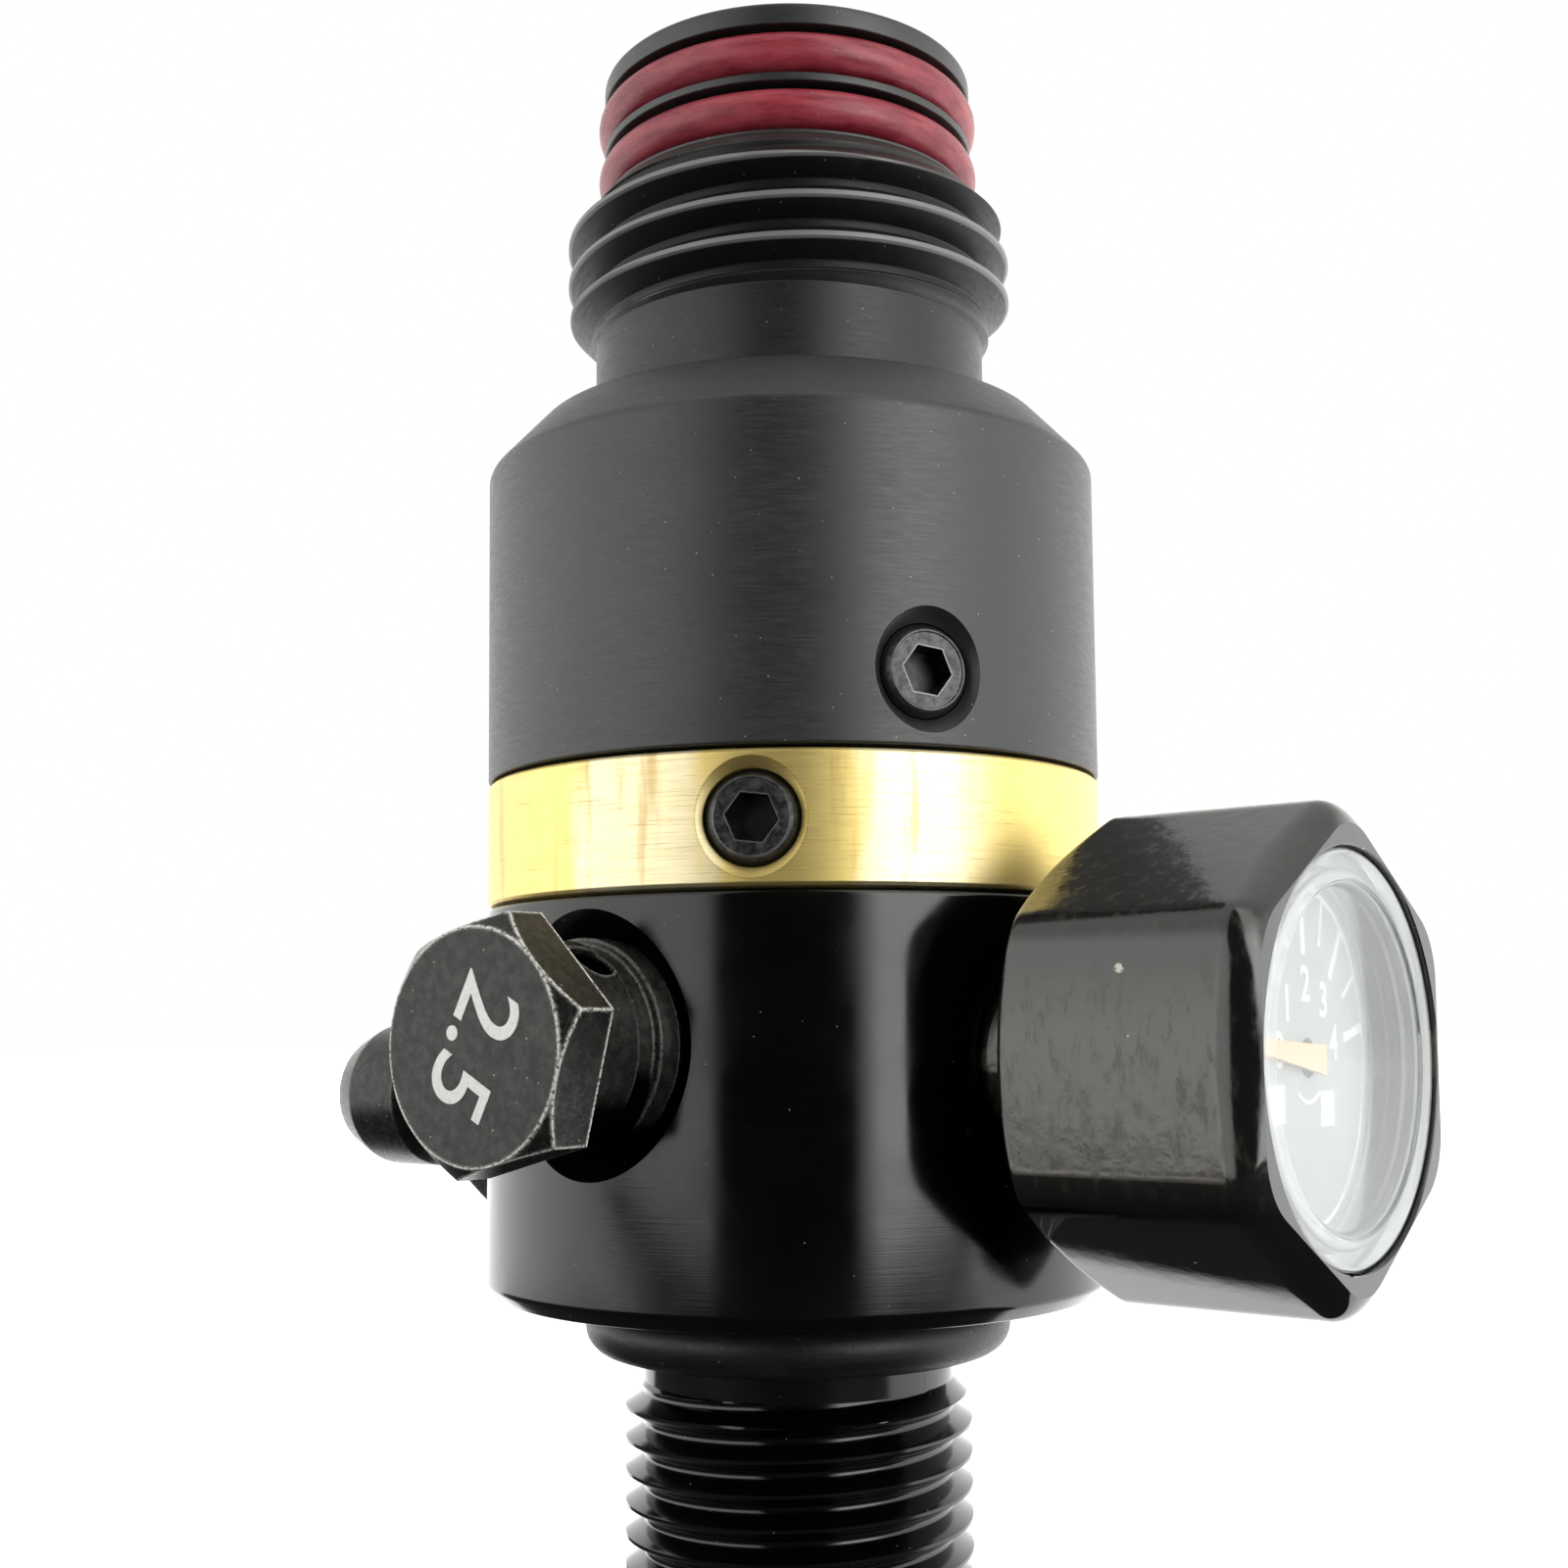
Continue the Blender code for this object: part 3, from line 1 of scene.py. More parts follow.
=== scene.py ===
"""The looks of a high-pressure air tank regulator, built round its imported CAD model.

Each CAD node that shows is replaced by a finer mesh of the same shape, with eased edges, helical threads
and a printed dial. The nodes inside stay as they are and get materials. Lengths are in millimetres until
a mesh is made, heights are along +Z, and a port's own frame has X sideways, Y up and Z outwards.
In an outline, a line of text holds one wall, and a corner's third number is the reach of its rounding.
"""

import json
import math

import bmesh
import bpy
from mathutils import Matrix, Vector


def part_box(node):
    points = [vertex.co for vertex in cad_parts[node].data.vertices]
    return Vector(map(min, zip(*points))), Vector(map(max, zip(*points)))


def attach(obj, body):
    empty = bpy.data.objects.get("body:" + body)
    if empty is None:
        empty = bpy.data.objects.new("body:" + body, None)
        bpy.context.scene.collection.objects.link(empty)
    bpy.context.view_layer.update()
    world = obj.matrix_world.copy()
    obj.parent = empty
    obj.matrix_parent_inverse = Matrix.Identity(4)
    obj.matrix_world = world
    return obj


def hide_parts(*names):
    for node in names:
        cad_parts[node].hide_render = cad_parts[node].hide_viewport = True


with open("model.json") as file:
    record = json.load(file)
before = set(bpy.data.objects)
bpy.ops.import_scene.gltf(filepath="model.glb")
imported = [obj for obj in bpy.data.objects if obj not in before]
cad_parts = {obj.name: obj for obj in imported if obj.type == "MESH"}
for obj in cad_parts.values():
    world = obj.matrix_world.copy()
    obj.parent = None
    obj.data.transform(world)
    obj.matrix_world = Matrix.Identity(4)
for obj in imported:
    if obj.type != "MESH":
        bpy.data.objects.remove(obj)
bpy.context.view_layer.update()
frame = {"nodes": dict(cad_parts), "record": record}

MM = 0.001
TURN = 2 * math.pi
UPRIGHT = Matrix.Identity(4)

# Fineness of the meshes
COLUMNS = 240
CASE_COLUMNS = 360
FEW_COLUMNS = 96
VENT_COLUMNS = 64
SEAL_STEPS = 28
ROUNDING_STEPS = 5
SHARP_ANGLE = 25.0
WELD = 0.0001
NEARLY = 0.02


def extent(node):
    """Lowest and highest corner of a CAD node, in millimetres."""
    low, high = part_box(node)
    return low / MM, high / MM


def heights(node):
    """Bottom and top of a CAD node, in millimetres."""
    return tuple(corner.z for corner in extent(node))


def port_frame(node):
    """The frame of the port on whose axis this CAD node is centred."""
    low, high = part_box(node)
    middle = (low + high) / 2
    outwards = Vector((middle.x, middle.y, 0)).normalized()
    upwards = Vector((0, 0, 1))
    made = Matrix((upwards.cross(outwards), upwards, outwards)).transposed().to_4x4()
    made.translation = Vector((0, 0, middle.z))
    return made


# Sizes from the frame
GAP = 0.3
RADIUS = extent("lock_ring")[1].x
RING_BOTTOM, RING_TOP = heights("lock_ring")
BODY_BOTTOM, SPIGOT_TOP = heights("valve_body")
BODY_TOP = RING_BOTTOM - GAP
BONNET_BOTTOM, NOSE_TOP = heights("bonnet")
CHAMBER_TOP = heights("piston")[1] + 0.9
PIN_VALVE_BOTTOM, PIN_VALVE_TOP = heights("pin_valve_body")
PIN_VALVE_RADIUS = extent("pin_valve_body")[1].x
PIN_BOTTOM, PIN_TOP = heights("valve_pin")
GAUGE_PORT = port_frame("gauge_dial")
NIPPLE_PORT = port_frame("nipple_filter")
LOW_BURST_PORT = port_frame("low_burst_disc")
HIGH_BURST_PORT = port_frame("high_burst_disc")

# Valve body
BODY_FOOT = 0.62
BODY_EDGE = 0.22
SPIGOT_RADIUS = 10.6
POCKET_RADIUS = 8.4
POCKET_FLOOR = 18.0
STEM_HOLE_RADIUS = 3.04
INLET_RADIUS = 4.0
INLET_TOP = 6.8
PIPE_PORT_RADIUS = 4.9
PORT_FLOOR = 7.4

# Holes with a conical mouth: radius, radius of the mouth, and how far it sinks as it narrows by one
PLUG_HOLE = (4.4, 5.55, 1.25)
RING_SCREW_HOLE = (2.0, 2.45, 1.0)
BONNET_SCREW_HOLE = (2.0, 2.6, 1.0)

# Threads: crest radius, depth, pitch and the height of one crest above the +X side
TANK_THREAD = (7.9, 0.85, 1.411, -4.365)
TANK_THREAD_TOP = -3.9
RELIEF_RADIUS = 7.05
TANK_END_RADIUS = 6.7
NOSE_THREAD = (10.48, 1.13, 1.814, 49.66)
NOSE_THREAD_TOP = 50.9
NOSE_THREAD_BOTTOM = 44.03

# A thread's form: share of the pitch, and share of the depth that is left
FLANK = ((0.05, 1.0), (0.085, 0.93), (0.36, 0.13), (0.4, 0.03), (0.44, 0.0))
THREAD_FORM = ((0.0, 1.0), *FLANK, *((1 - share, left) for share, left in reversed(FLANK)))

# Bonnet and nose
CONE_BOTTOM = 37.33
LEDGE = 39.83
LEDGE_RADIUS = 11.78
NECK_RADIUS = 9.18
NOSE_RADIUS = 8.75
NOSE_EDGE = 0.3
GROOVE_RADIUS = 7.13
GROOVE_HEIGHT = 2.2
GROOVE_BOTTOMS = (51.042, 53.622)
NOSE_BORE_RADIUS = 4.9
OUTLET_RADIUS = 3.2
RING_BORE_RADIUS = 10.9
RING_EDGE = 0.14
JOINT_FILL = 0.07
CHAMBER_RADIUS = 10.0

# Pin valve
PIN_VALVE_SEAT = 42.722
PIN_VALVE_ROOF = PIN_VALVE_TOP - 4.6
PIN_VALVE_BORE_RADIUS = 3.3
PIN_HOLE_RADIUS = 1.7
PIN_RADIUS = 1.2
PIN_TAIL_RADIUS = 0.9
PIN_FLANGE_RADIUS = 3.0
PIN_FLANGE_TOP = 49.122
PIN_FLANGE_BOTTOM = 48.322
DRIVER_SLOT_WIDTH = 1.2
DRIVER_SLOT_DEPTH = 1.0

# Set screws
SCREW_RADIUS = 1.96
SCREW_FACE = RADIUS - 0.2
SCREW_INNER_END = 10.9
SCREW_LIP = 0.05
SCREW_LIP_RADIUS = 1.6
SCREW_FACE_RADIUS = 1.66
SCREW_CHAMFER = 0.42
SCREW_SOCKET = 1.92
SCREW_SOCKET_DEPTH = 1.3
SCREW_TURN = 23.0

# Gauge
CASE_APOTHEM = 8.8
CASE_CORNER = 2.0
CASE_CORNER_GROWTH = 0.9
CASE_BACK = 16.6
CASE_BACK_STEPS = 22
CASE_BACK_STEP = 0.06
CASE_FRONT = 27.15
CASE_BACK_RADIUS = 8.45
CASE_BACK_SLOPE = 0.5
CASE_BACK_BLEND = 0.1
CASE_ROLL_LENGTH = 1.3
CASE_ROLL_LONGER = 0.4
CASE_ROLL_DEPTH = 0.72
CASE_ROLL_STEPS = 20
CASE_BORE_RADIUS = 8.02
CASE_FLOOR = 18.2
CASE_POST_HOLE = 2.7
LENS_RADIUS = 7.95
LENS_FRONT = 27.0
LENS_BACK = 26.2
LENS_SKIRT_RADIUS = 7.2
LENS_RIM = 1.3
LENS_RIM_RISE = 0.12
DIAL_FRONT = 24.25
DIAL_THICKNESS = 0.4
DIAL_HOLE_RADIUS = 0.8
SCALE_RADIUS = 6.85
SCALE_START = 174.5
SCALE_STEP = 41.0
SCALE_STEPS = 4
SCALE_ARC_END = -88.0
SCALE_LINE = 0.22
LONG_TICK = (2.7, 0.4)  # length and width
SHORT_TICK = (2.1, 0.22)
NUMERAL_RADIUS = 2.9
NUMERAL_SIZE = 2.0
PRINT_HEIGHT = 0.04
POINTER_BOTTOM = 24.55
POINTER_THICKNESS = 0.25
POINTER_ANGLE = 174.0
COLLAR_RADIUS = 4.45
COLLAR_BACK = 12.0
COLLAR_GROOVE = 15.4
COLLAR_GROOVE_RADIUS = 4.0
STEM_RADIUS = 4.35
STEM_THREAD_RADIUS = 4.6
STEM_BORE_RADIUS = 0.8
POST_RADIUS = 2.4
POST_TOP = 19.5

# Burst plugs. A hexagon has its apothem, the radius of its round face and its chamfer's slope.
PLUG_FRONT = 20.5
PLUG_HEAD_BACK = 18.1
PLUG_HEXAGON = (4.625, 4.6, 0.9)
PLUG_TURN = 14.9
PLUG_NUMBER_TURN = 242.0
PLUG_NUMBER_SIZE = 4.6
PLUG_COLLAR_RADIUS = 4.2
PLUG_COLLAR_END = 15.6
PLUG_NECK_RADIUS = 4.0
PLUG_FLANGE_RADIUS = 4.35
PLUG_FLANGE_FRONT = 14.5
PLUG_FLANGE_BACK = 13.3
PLUG_THREAD_RADIUS = 4.1
PLUG_END = 9.1
PLUG_BORE_RADIUS = 1.9
PLUG_BORE_END = 16.9
VENT_RADIUS = 1.0
VENT_DISTANCE = 16.4
VENT_ANGLE = 54.0

# Fill nipple
NIPPLE_TURN = 45.0
NIPPLE_HEXAGON = (5.55, 5.45, 0.6)
NIPPLE_HEX_FRONT = 18.5
NIPPLE_HEX_BACK = 14.44
NIPPLE_TIP = 29.9
NIPPLE_TIP_CHAMFER = 1.9
NIPPLE_RADIUS = 3.85
NIPPLE_TIP_RADIUS = 3.1
NIPPLE_RECESS_RADIUS = 2.2
NIPPLE_RECESS_FLOOR = 28.2
NIPPLE_GROOVE_TOP = 24.5
NIPPLE_GROOVE_BOTTOM = 22.3
NIPPLE_NECK_RADIUS = 3.3
NIPPLE_THREAD_RADIUS = 4.6
NIPPLE_CHAMBER_RADIUS = 2.9
NIPPLE_CHAMBER_TOP = 21.5
NIPPLE_HOLE_RADIUS = 1.2
STRAINER_RADIUS = 1.9

# Brighter panels of the tent: how much brighter, and the bearings where each rises and falls
TENT_PANELS = (
    (0.3, (-115, -100, -60, -45)),
    (0.2, (-62, -56, -40, -34)),
    (2.6, (24, 31, 52, 68)),
)


# Meshes


def linked(name, data):
    """A new object in the scene."""
    obj = bpy.data.objects.new(name, data)
    bpy.context.scene.collection.objects.link(obj)
    return obj


def place(name, shape, matrix):
    """An object of a shape, which is moved itself so that every piece keeps the frame's coordinates."""
    mesh = bpy.data.meshes.new(name)
    shape.to_mesh(mesh)
    shape.free()
    mesh.transform(matrix)
    return smoothed(linked(name, mesh))


def smoothed(obj):
    """Smooth shading that breaks at sharp edges."""
    obj.data.shade_smooth()
    obj.data.set_sharp_from_angle(angle=math.radians(SHARP_ANGLE))
    return obj


def evaluated_mesh(obj):
    """The object's mesh with its modifiers applied."""
    bpy.context.view_layer.update()
    graph = bpy.context.evaluated_depsgraph_get()
    return bpy.data.meshes.new_from_object(obj.evaluated_get(graph))


def spun(degrees):
    """A turn round the Z axis."""
    return Matrix.Rotation(math.radians(degrees), 4, "Z")


def lifted(height):
    """A move along the Z axis, in millimetres."""
    return Matrix.Translation((0, 0, height * MM))


def welded(name, patches, matrix=UPRIGHT):
    """One closed mesh from grids of points in millimetres, each a list of equally long rows."""
    shape = bmesh.new()
    for rows in patches:
        grid = [[shape.verts.new(point * MM) for point in row] for row in rows]
        for upper, lower in zip(grid, grid[1:]):
            for column in range(len(upper) - 1):
                shape.faces.new((upper[column], upper[column + 1], lower[column + 1], lower[column]))
    bmesh.ops.remove_doubles(shape, verts=shape.verts, dist=WELD * MM)
    bmesh.ops.dissolve_degenerate(shape, edges=shape.edges, dist=WELD * MM)
    bmesh.ops.recalc_face_normals(shape, faces=shape.faces)
    return place(name, shape, matrix)


def polar(radius, angle, height=0.0):
    """A point at an angle round the Z axis."""
    return Vector((radius * math.cos(angle), radius * math.sin(angle), height))


def ring(radius_at, height_at, columns=COLUMNS):
    """A row of points round the Z axis, whose radius and height may depend on the angle."""
    row = []
    for column in range(columns + 1):
        angle = TURN * column / columns
        radius = radius_at(angle) if callable(radius_at) else radius_at
        height = height_at(angle) if callable(height_at) else height_at
        row.append(polar(radius, angle, height))
    return row


def eased(outline, closed):
    """The outline with its corners rounded where they have a third number, the reach of the rounding."""
    made = []
    count = len(outline)
    for index, corner in enumerate(outline):
        here = Vector(corner[:2])
        if len(corner) < 3 or (not closed and index in (0, count - 1)):
            made.append(here)
            continue
        start = here + (Vector(outline[index - 1][:2]) - here).normalized() * corner[2]
        end = here + (Vector(outline[(index + 1) % count][:2]) - here).normalized() * corner[2]
        for step in range(ROUNDING_STEPS + 1):
            share = step / ROUNDING_STEPS
            made.append(start.lerp(here, share).lerp(here.lerp(end, share), share))
    return made


def rings(outline, closed=False, columns=COLUMNS):
    """The rows of an outline of (radius, height) points, revolved about Z."""
    points = eased(outline, closed)
    if closed:
        points.append(points[0])
    return [ring(point.x, point.y, columns) for point in points]


def turned(name, outline, matrix=UPRIGHT, columns=COLUMNS):
    """A revolved solid. Its outline is closed, unless it starts and ends on the axis."""
    on_axis = outline[0][0] == 0 and outline[-1][0] == 0
    return welded(name, [rings(outline, not on_axis, columns)], matrix)


def helix(thread, root_top, root_bottom, high, low):
    """The rows of a right-hand thread between two heights, cut off by a 45 degree cone at each end."""
    crest, depth, pitch, crest_height = thread
    first = math.floor((low - crest_height) / pitch) - 2
    last = math.ceil((high - crest_height) / pitch) + 2
    rows = []
    for turn in range(first, last):
        for share, fullness in THREAD_FORM:
            row = []
            for column in range(COLUMNS + 1):
                climb = column / COLUMNS
                height = min(high, max(low, crest_height + (turn + share + climb) * pitch))
                radius = crest - depth * (1 - fullness)
                radius = min(radius, root_top + high - height, root_bottom + height - low)
                row.append(polar(radius, TURN * climb, height))
            rows.append(row)
    return rows


def hexagon_radius(angle, apothem, fillet=0.0):
    """Distance from a hexagon's middle to its edge; a corner is at angle 0."""
    off_corner = (angle + math.pi / 6) % (math.pi / 3) - math.pi / 6
    off_flat = math.pi / 6 - abs(off_corner)
    if math.tan(off_flat) * apothem <= (apothem - fillet) * math.tan(math.pi / 6) + 1e-9:
        return apothem / math.cos(off_flat)
    centre = (apothem - fillet) / math.cos(math.pi / 6)
    across = centre * math.sin(off_corner)
    return centre * math.cos(off_corner) + math.sqrt(fillet**2 - across**2)


def soft_least(a, b, blend):
    """The lesser of two lengths, with a rounded change from one to the other."""
    gap = abs(a - b) / blend
    return min(a, b) - blend * math.log(1 + math.exp(-gap))


def hex_head(apothem, face_radius, slope, front, back):
    """The rows of a hexagonal head from its face to its back, with a conical chamfer round the face."""

    def edge(angle):
        return hexagon_radius(angle, apothem)

    def chamfer_height(angle):
        return front - slope * (edge(angle) - face_radius)

    return [ring(face_radius, front), ring(edge, chamfer_height), ring(edge, back)]


def bar(radius, high, low):
    """The outline of a plain round bar."""
    return [(0, high), (radius, high), (radius, low), (0, low)]


def sunk_hole(name, sizes, matrix):
    """A cutter for a hole with a conical mouth in the object's round side."""
    radius, mouth_radius, slope = sizes
    outside = 2 * RADIUS
    outline = [
        (0, outside),
        (mouth_radius + (outside - RADIUS) / slope, outside),
        (radius, RADIUS - (mouth_radius - radius) * slope),
        (radius, PORT_FLOOR),
        (0, PORT_FLOOR),
    ]
    return turned(name, outline, matrix, FEW_COLUMNS)


def cut(obj, *cutters):
    """Subtracts the cutters from a piece, and removes them."""
    for cutter in cutters:
        boolean = obj.modifiers.new(cutter.name, "BOOLEAN")
        boolean.operation = "DIFFERENCE"
        boolean.solver = "EXACT"
        boolean.object = cutter
    mesh = evaluated_mesh(obj)
    obj.modifiers.clear()
    obj.data = mesh
    for cutter in cutters:
        bpy.data.objects.remove(cutter, do_unlink=True)
    smoothed(obj)


def true_cylinder(obj):
    """Gives the faces on the body's cylinder exact normals, so that cuts in it don't spoil its gloss."""
    mesh = obj.data
    normals = [Vector(corner.vector) for corner in mesh.corner_normals]
    for face in mesh.polygons:
        off_axis = math.hypot(face.center.x, face.center.y) / MM
        if abs(face.normal.z) > NEARLY or abs(off_axis - RADIUS) > NEARLY:
            continue
        for loop in face.loop_indices:
            point = mesh.vertices[mesh.loops[loop].vertex_index].co
            normals[loop] = Vector((point.x, point.y, 0)).normalized()
    mesh.normals_split_custom_set(normals)


def solid_text(name, words, size, thickness, weight, matrix):
    """Numerals as a thin solid, centred on the frame's origin and made bolder by their weight."""
    curve = bpy.data.curves.new(name, "FONT")
    curve.body = words
    curve.size = size * MM
    curve.extrude = thickness / 2 * MM
    curve.offset = weight * size * MM
    curve.align_x = curve.align_y = "CENTER"
    text = linked(name, curve)
    shape = bmesh.new()
    shape.from_mesh(evaluated_mesh(text))
    bpy.data.objects.remove(text, do_unlink=True)
    bmesh.ops.remove_doubles(shape, verts=shape.verts, dist=WELD * MM)
    return place(name, shape, matrix)


def slab(name, outlines, low, high, matrix=UPRIGHT):
    """Flat shapes with straight sides, from outlines of (x, y) points."""
    shape = bmesh.new()
    for outline in outlines:
        face = shape.faces.new([shape.verts.new((x * MM, y * MM, low * MM)) for x, y in outline])
        raised = bmesh.ops.extrude_face_region(shape, geom=[face])["geom"]
        top = [item for item in raised if isinstance(item, bmesh.types.BMVert)]
        bmesh.ops.translate(shape, vec=(0, 0, (high - low) * MM), verts=top)
    bmesh.ops.recalc_face_normals(shape, faces=shape.faces)
    return place(name, shape, matrix)


def arc(radius, start, end, steps):
    """Points of an arc between two angles in degrees."""
    turns = [math.radians(start + (end - start) * step / steps) for step in range(steps + 1)]
    return [(radius * math.cos(turn), radius * math.sin(turn)) for turn in turns]


def arc_band(inner, outer, start, end, steps):
    """The outline of a band along an arc."""
    return arc(outer, start, end, steps) + arc(inner, end, start, steps)


def rectangle(left, top, right, bottom):
    return [(left, top), (left, bottom), (right, bottom), (right, top)]


def dress(obj, slot, *nodes, body="valve_body", material=None):
    """Finishes a piece: its material, the CAD nodes it stands for and the body it moves with."""
    obj.data.materials.clear()
    obj.data.materials.append(material or FINISHES[slot])
    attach(obj, body)
    if nodes:
        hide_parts(*nodes)


# Materials


class Nodes:
    """A node tree, with short ways to add the nodes that the materials and the world share."""

    def __init__(self, tree):
        self.tree = tree

    def feed(self, socket, value):
        """Links a socket or sets it. A single number stands for a grey where a colour is asked for."""
        if isinstance(value, bpy.types.NodeSocket):
            self.tree.links.new(value, socket)
        elif socket.type == "RGBA":
            color = value if isinstance(value, tuple) else (value, value, value)
            socket.default_value = (*color, 1.0)
        else:
            socket.default_value = value

    def node(self, kind, inputs=(), **settings):
        made = self.tree.nodes.new(kind)
        for key, value in settings.items():
            setattr(made, key, value)
        for key, value in dict(inputs).items():
            self.feed(made.inputs[key], value)
        return made

    def math(self, operation, a, b=0.0, c=0.0):
        return self.node("ShaderNodeMath", {0: a, 1: b, 2: c}, operation=operation).outputs[0]

    def times(self, a, b):
        return self.math("MULTIPLY", a, b)

    def inverse(self, mask):
        return self.math("SUBTRACT", 1.0, mask)

    def reach(self, value, low, high, to_low=0.0, to_high=1.0):
        """Maps a value's range onto another, eased at both ends. A mask falls if low is above high."""
        inputs = {"Value": value, 1: low, 2: high, 3: to_low, 4: to_high}
        return self.node("ShaderNodeMapRange", inputs, interpolation_type="SMOOTHSTEP").outputs[0]

    def band(self, value, rise, rise_end, fall, fall_end):
        """A mask that rises over one range of a value and falls over a later one."""
        return self.math("SUBTRACT", self.reach(value, rise, rise_end), self.reach(value, fall, fall_end))

    def vector(self, operation, a, b):
        return self.node("ShaderNodeVectorMath", {0: a, 1: b}, operation=operation).outputs

    def dot(self, a, b):
        return self.vector("DOT_PRODUCT", a, b)["Value"]

    def axes(self, vector):
        return self.node("ShaderNodeSeparateXYZ", {0: vector}).outputs

    def bearing(self, vector):
        """Angle round the Z axis in degrees, from the front towards the right."""
        x, y, _ = self.axes(vector)
        return self.times(self.math("ARCTAN2", x, self.times(y, -1.0)), 360 / TURN)


class Look(Nodes):
    """A material, with the patterns and masks that it can be mixed from."""

    def __init__(self, name, color, metallic, roughness):
        self.material = bpy.data.materials.new(name)
        self.material.use_nodes = True
        super().__init__(self.material.node_tree)
        self.shader = self.tree.nodes["Principled BSDF"]
        self.color(color)
        self.set("Metallic", metallic)
        self.set("Roughness", roughness)

    def set(self, socket, value):
        """Feeds one socket of the shader."""
        self.feed(self.shader.inputs[socket], value)

    def color(self, value):
        self.set("Base Color", value)

    def spot(self, stretch=(1.0, 1.0, 1.0)):
        """The piece's own coordinates in millimetres, stretched along each axis."""
        factors = tuple(factor / MM for factor in stretch)
        return self.vector("MULTIPLY", self.node("ShaderNodeTexCoord").outputs["Object"], factors)[0]

    def noise(self, scale, detail=3.0, rough=0.55, stretch=(1.0, 1.0, 1.0)):
        inputs = {"Vector": self.spot(stretch), "Scale": scale, "Detail": detail, "Roughness": rough}
        return self.node("ShaderNodeTexNoise", inputs).outputs["Fac"]

    def blend(self, share, a, b):
        """A colour between two."""
        return self.node("ShaderNodeMix", {0: share, 6: a, 7: b}, data_type="RGBA").outputs[2]

    def specks(self, size, share):
        """A mask of sparse dots about this many millimetres across, on a share of the cells."""
        inputs = {"Vector": self.spot(), "Scale": 0.22 / size, "Randomness": 1.0}
        cells = self.node("ShaderNodeTexVoronoi", inputs)
        dot = self.reach(cells.outputs["Distance"], 0.11, 0.06)
        lot = self.node("ShaderNodeSeparateColor", {0: cells.outputs["Color"]}).outputs[0]
        chosen = self.reach(lot, share, share - 0.01)
        shaped = self.reach(self.noise(3.0 / size, 1.0), 0.35, 0.5)
        return self.times(self.times(dot, chosen), shaped)

    def edges(self, size, low=0.02, high=0.12):
        """A mask of the piece's sharp edges, this many millimetres wide."""
        eased_normal = self.node("ShaderNodeBevel", {"Radius": size * MM}, samples=6).outputs[0]
        true_normal = self.node("ShaderNodeNewGeometry").outputs["Normal"]
        return self.reach(self.dot(eased_normal, true_normal), 1 - low, 1 - high)

    def facing(self, direction, spread=0.02):
        """A mask of the faces square to this direction, from either side."""
        along = self.dot(self.node("ShaderNodeNewGeometry").outputs["Normal"], tuple(direction))
        return self.reach(self.times(along, along), 1 - spread, 1 - spread / 4)

    def off_axis(self, port=UPRIGHT):
        """Distance from a port's axis, or from the Z axis, in millimetres."""
        moved = self.vector("SUBTRACT", self.spot(), tuple(port.translation / MM))[0]
        sideways, upwards = (self.dot(moved, tuple(port.col[column][:3])) for column in (0, 1))
        square = self.math("ADD", self.times(sideways, sideways), self.times(upwards, upwards))
        return self.math("SQRT", square)

    def height(self):
        return self.axes(self.spot())[2]

    def relief(self, height, depth, strength):
        """Ends a look with relief this many millimetres deep, and gives the material."""
        inputs = {"Height": height, "Distance": depth * MM, "Strength": strength}
        self.set("Normal", self.node("ShaderNodeBump", inputs).outputs[0])
        return self.material


def make_anodised():
    """Matte black anodising over fine turning marks and a little dust, with painted light on the nose thread:
    a painted highlight along its crests, and painted shade on its sloping sides and on the waist below it.
    """
    look = Look("anodised_black", (0.03, 0.031, 0.033), 0.0, 0.5)
    marks = look.noise(1.0, 5.0, 0.75, (0.9, 0.9, 14.0))
    cloud = look.noise(0.35, 4.0)
    tone = look.blend(look.reach(cloud, 0.3, 0.7), (0.006, 0.0072, 0.008), (0.012, 0.0125, 0.013))
    streaked = look.blend(look.reach(marks, 0.52, 0.72, 0.0, 0.22), tone, (0.05, 0.051, 0.051))
    off_axis = look.off_axis()
    height = look.height()
    thread_foot = (NOSE_THREAD_BOTTOM, NOSE_THREAD_BOTTOM + 0.6)
    threaded = look.band(height, *thread_foot, NOSE_THREAD_TOP - 0.9, NOSE_THREAD_TOP - 0.2)
    # Painted shade on the thread's sloping sides, inside the crest radius, and a painted highlight along its
    # crests.
    painted_flank_shade = look.times(threaded, look.reach(off_axis, 10.43, 10.3))
    crest = look.times(threaded, look.reach(off_axis, 10.3, 10.42))
    # Painted shade on the waist between the ledge and the thread, under the thread's overhang.
    neck = look.band(height, LEDGE, LEDGE + 0.3, *thread_foot)
    dim = look.math("MAXIMUM", look.times(neck, 0.6), painted_flank_shade)
    # The crests are painted paler, a painted highlight. The shaded parts are painted darker and below made
    # less shiny, a painted shade.
    with_painted_light = look.blend(look.times(crest, 0.8), look.blend(dim, streaked, 0.004), 0.2)
    wear_and_painted_light = look.blend(look.times(look.edges(0.12), 0.35), with_painted_light, 0.16)
    look.color(look.blend(look.specks(0.07, 0.12), wear_and_painted_light, (0.45, 0.44, 0.42)))
    look.set("Roughness", look.reach(marks, 0.3, 0.7, 0.36, 0.5))
    look.set("Specular IOR Level", look.math("MULTIPLY_ADD", dim, -0.45, 0.75))
    grain = look.noise(14.0, 2.0)
    return look.relief(look.math("MULTIPLY_ADD", grain, 0.5, marks), 0.01, 0.5)


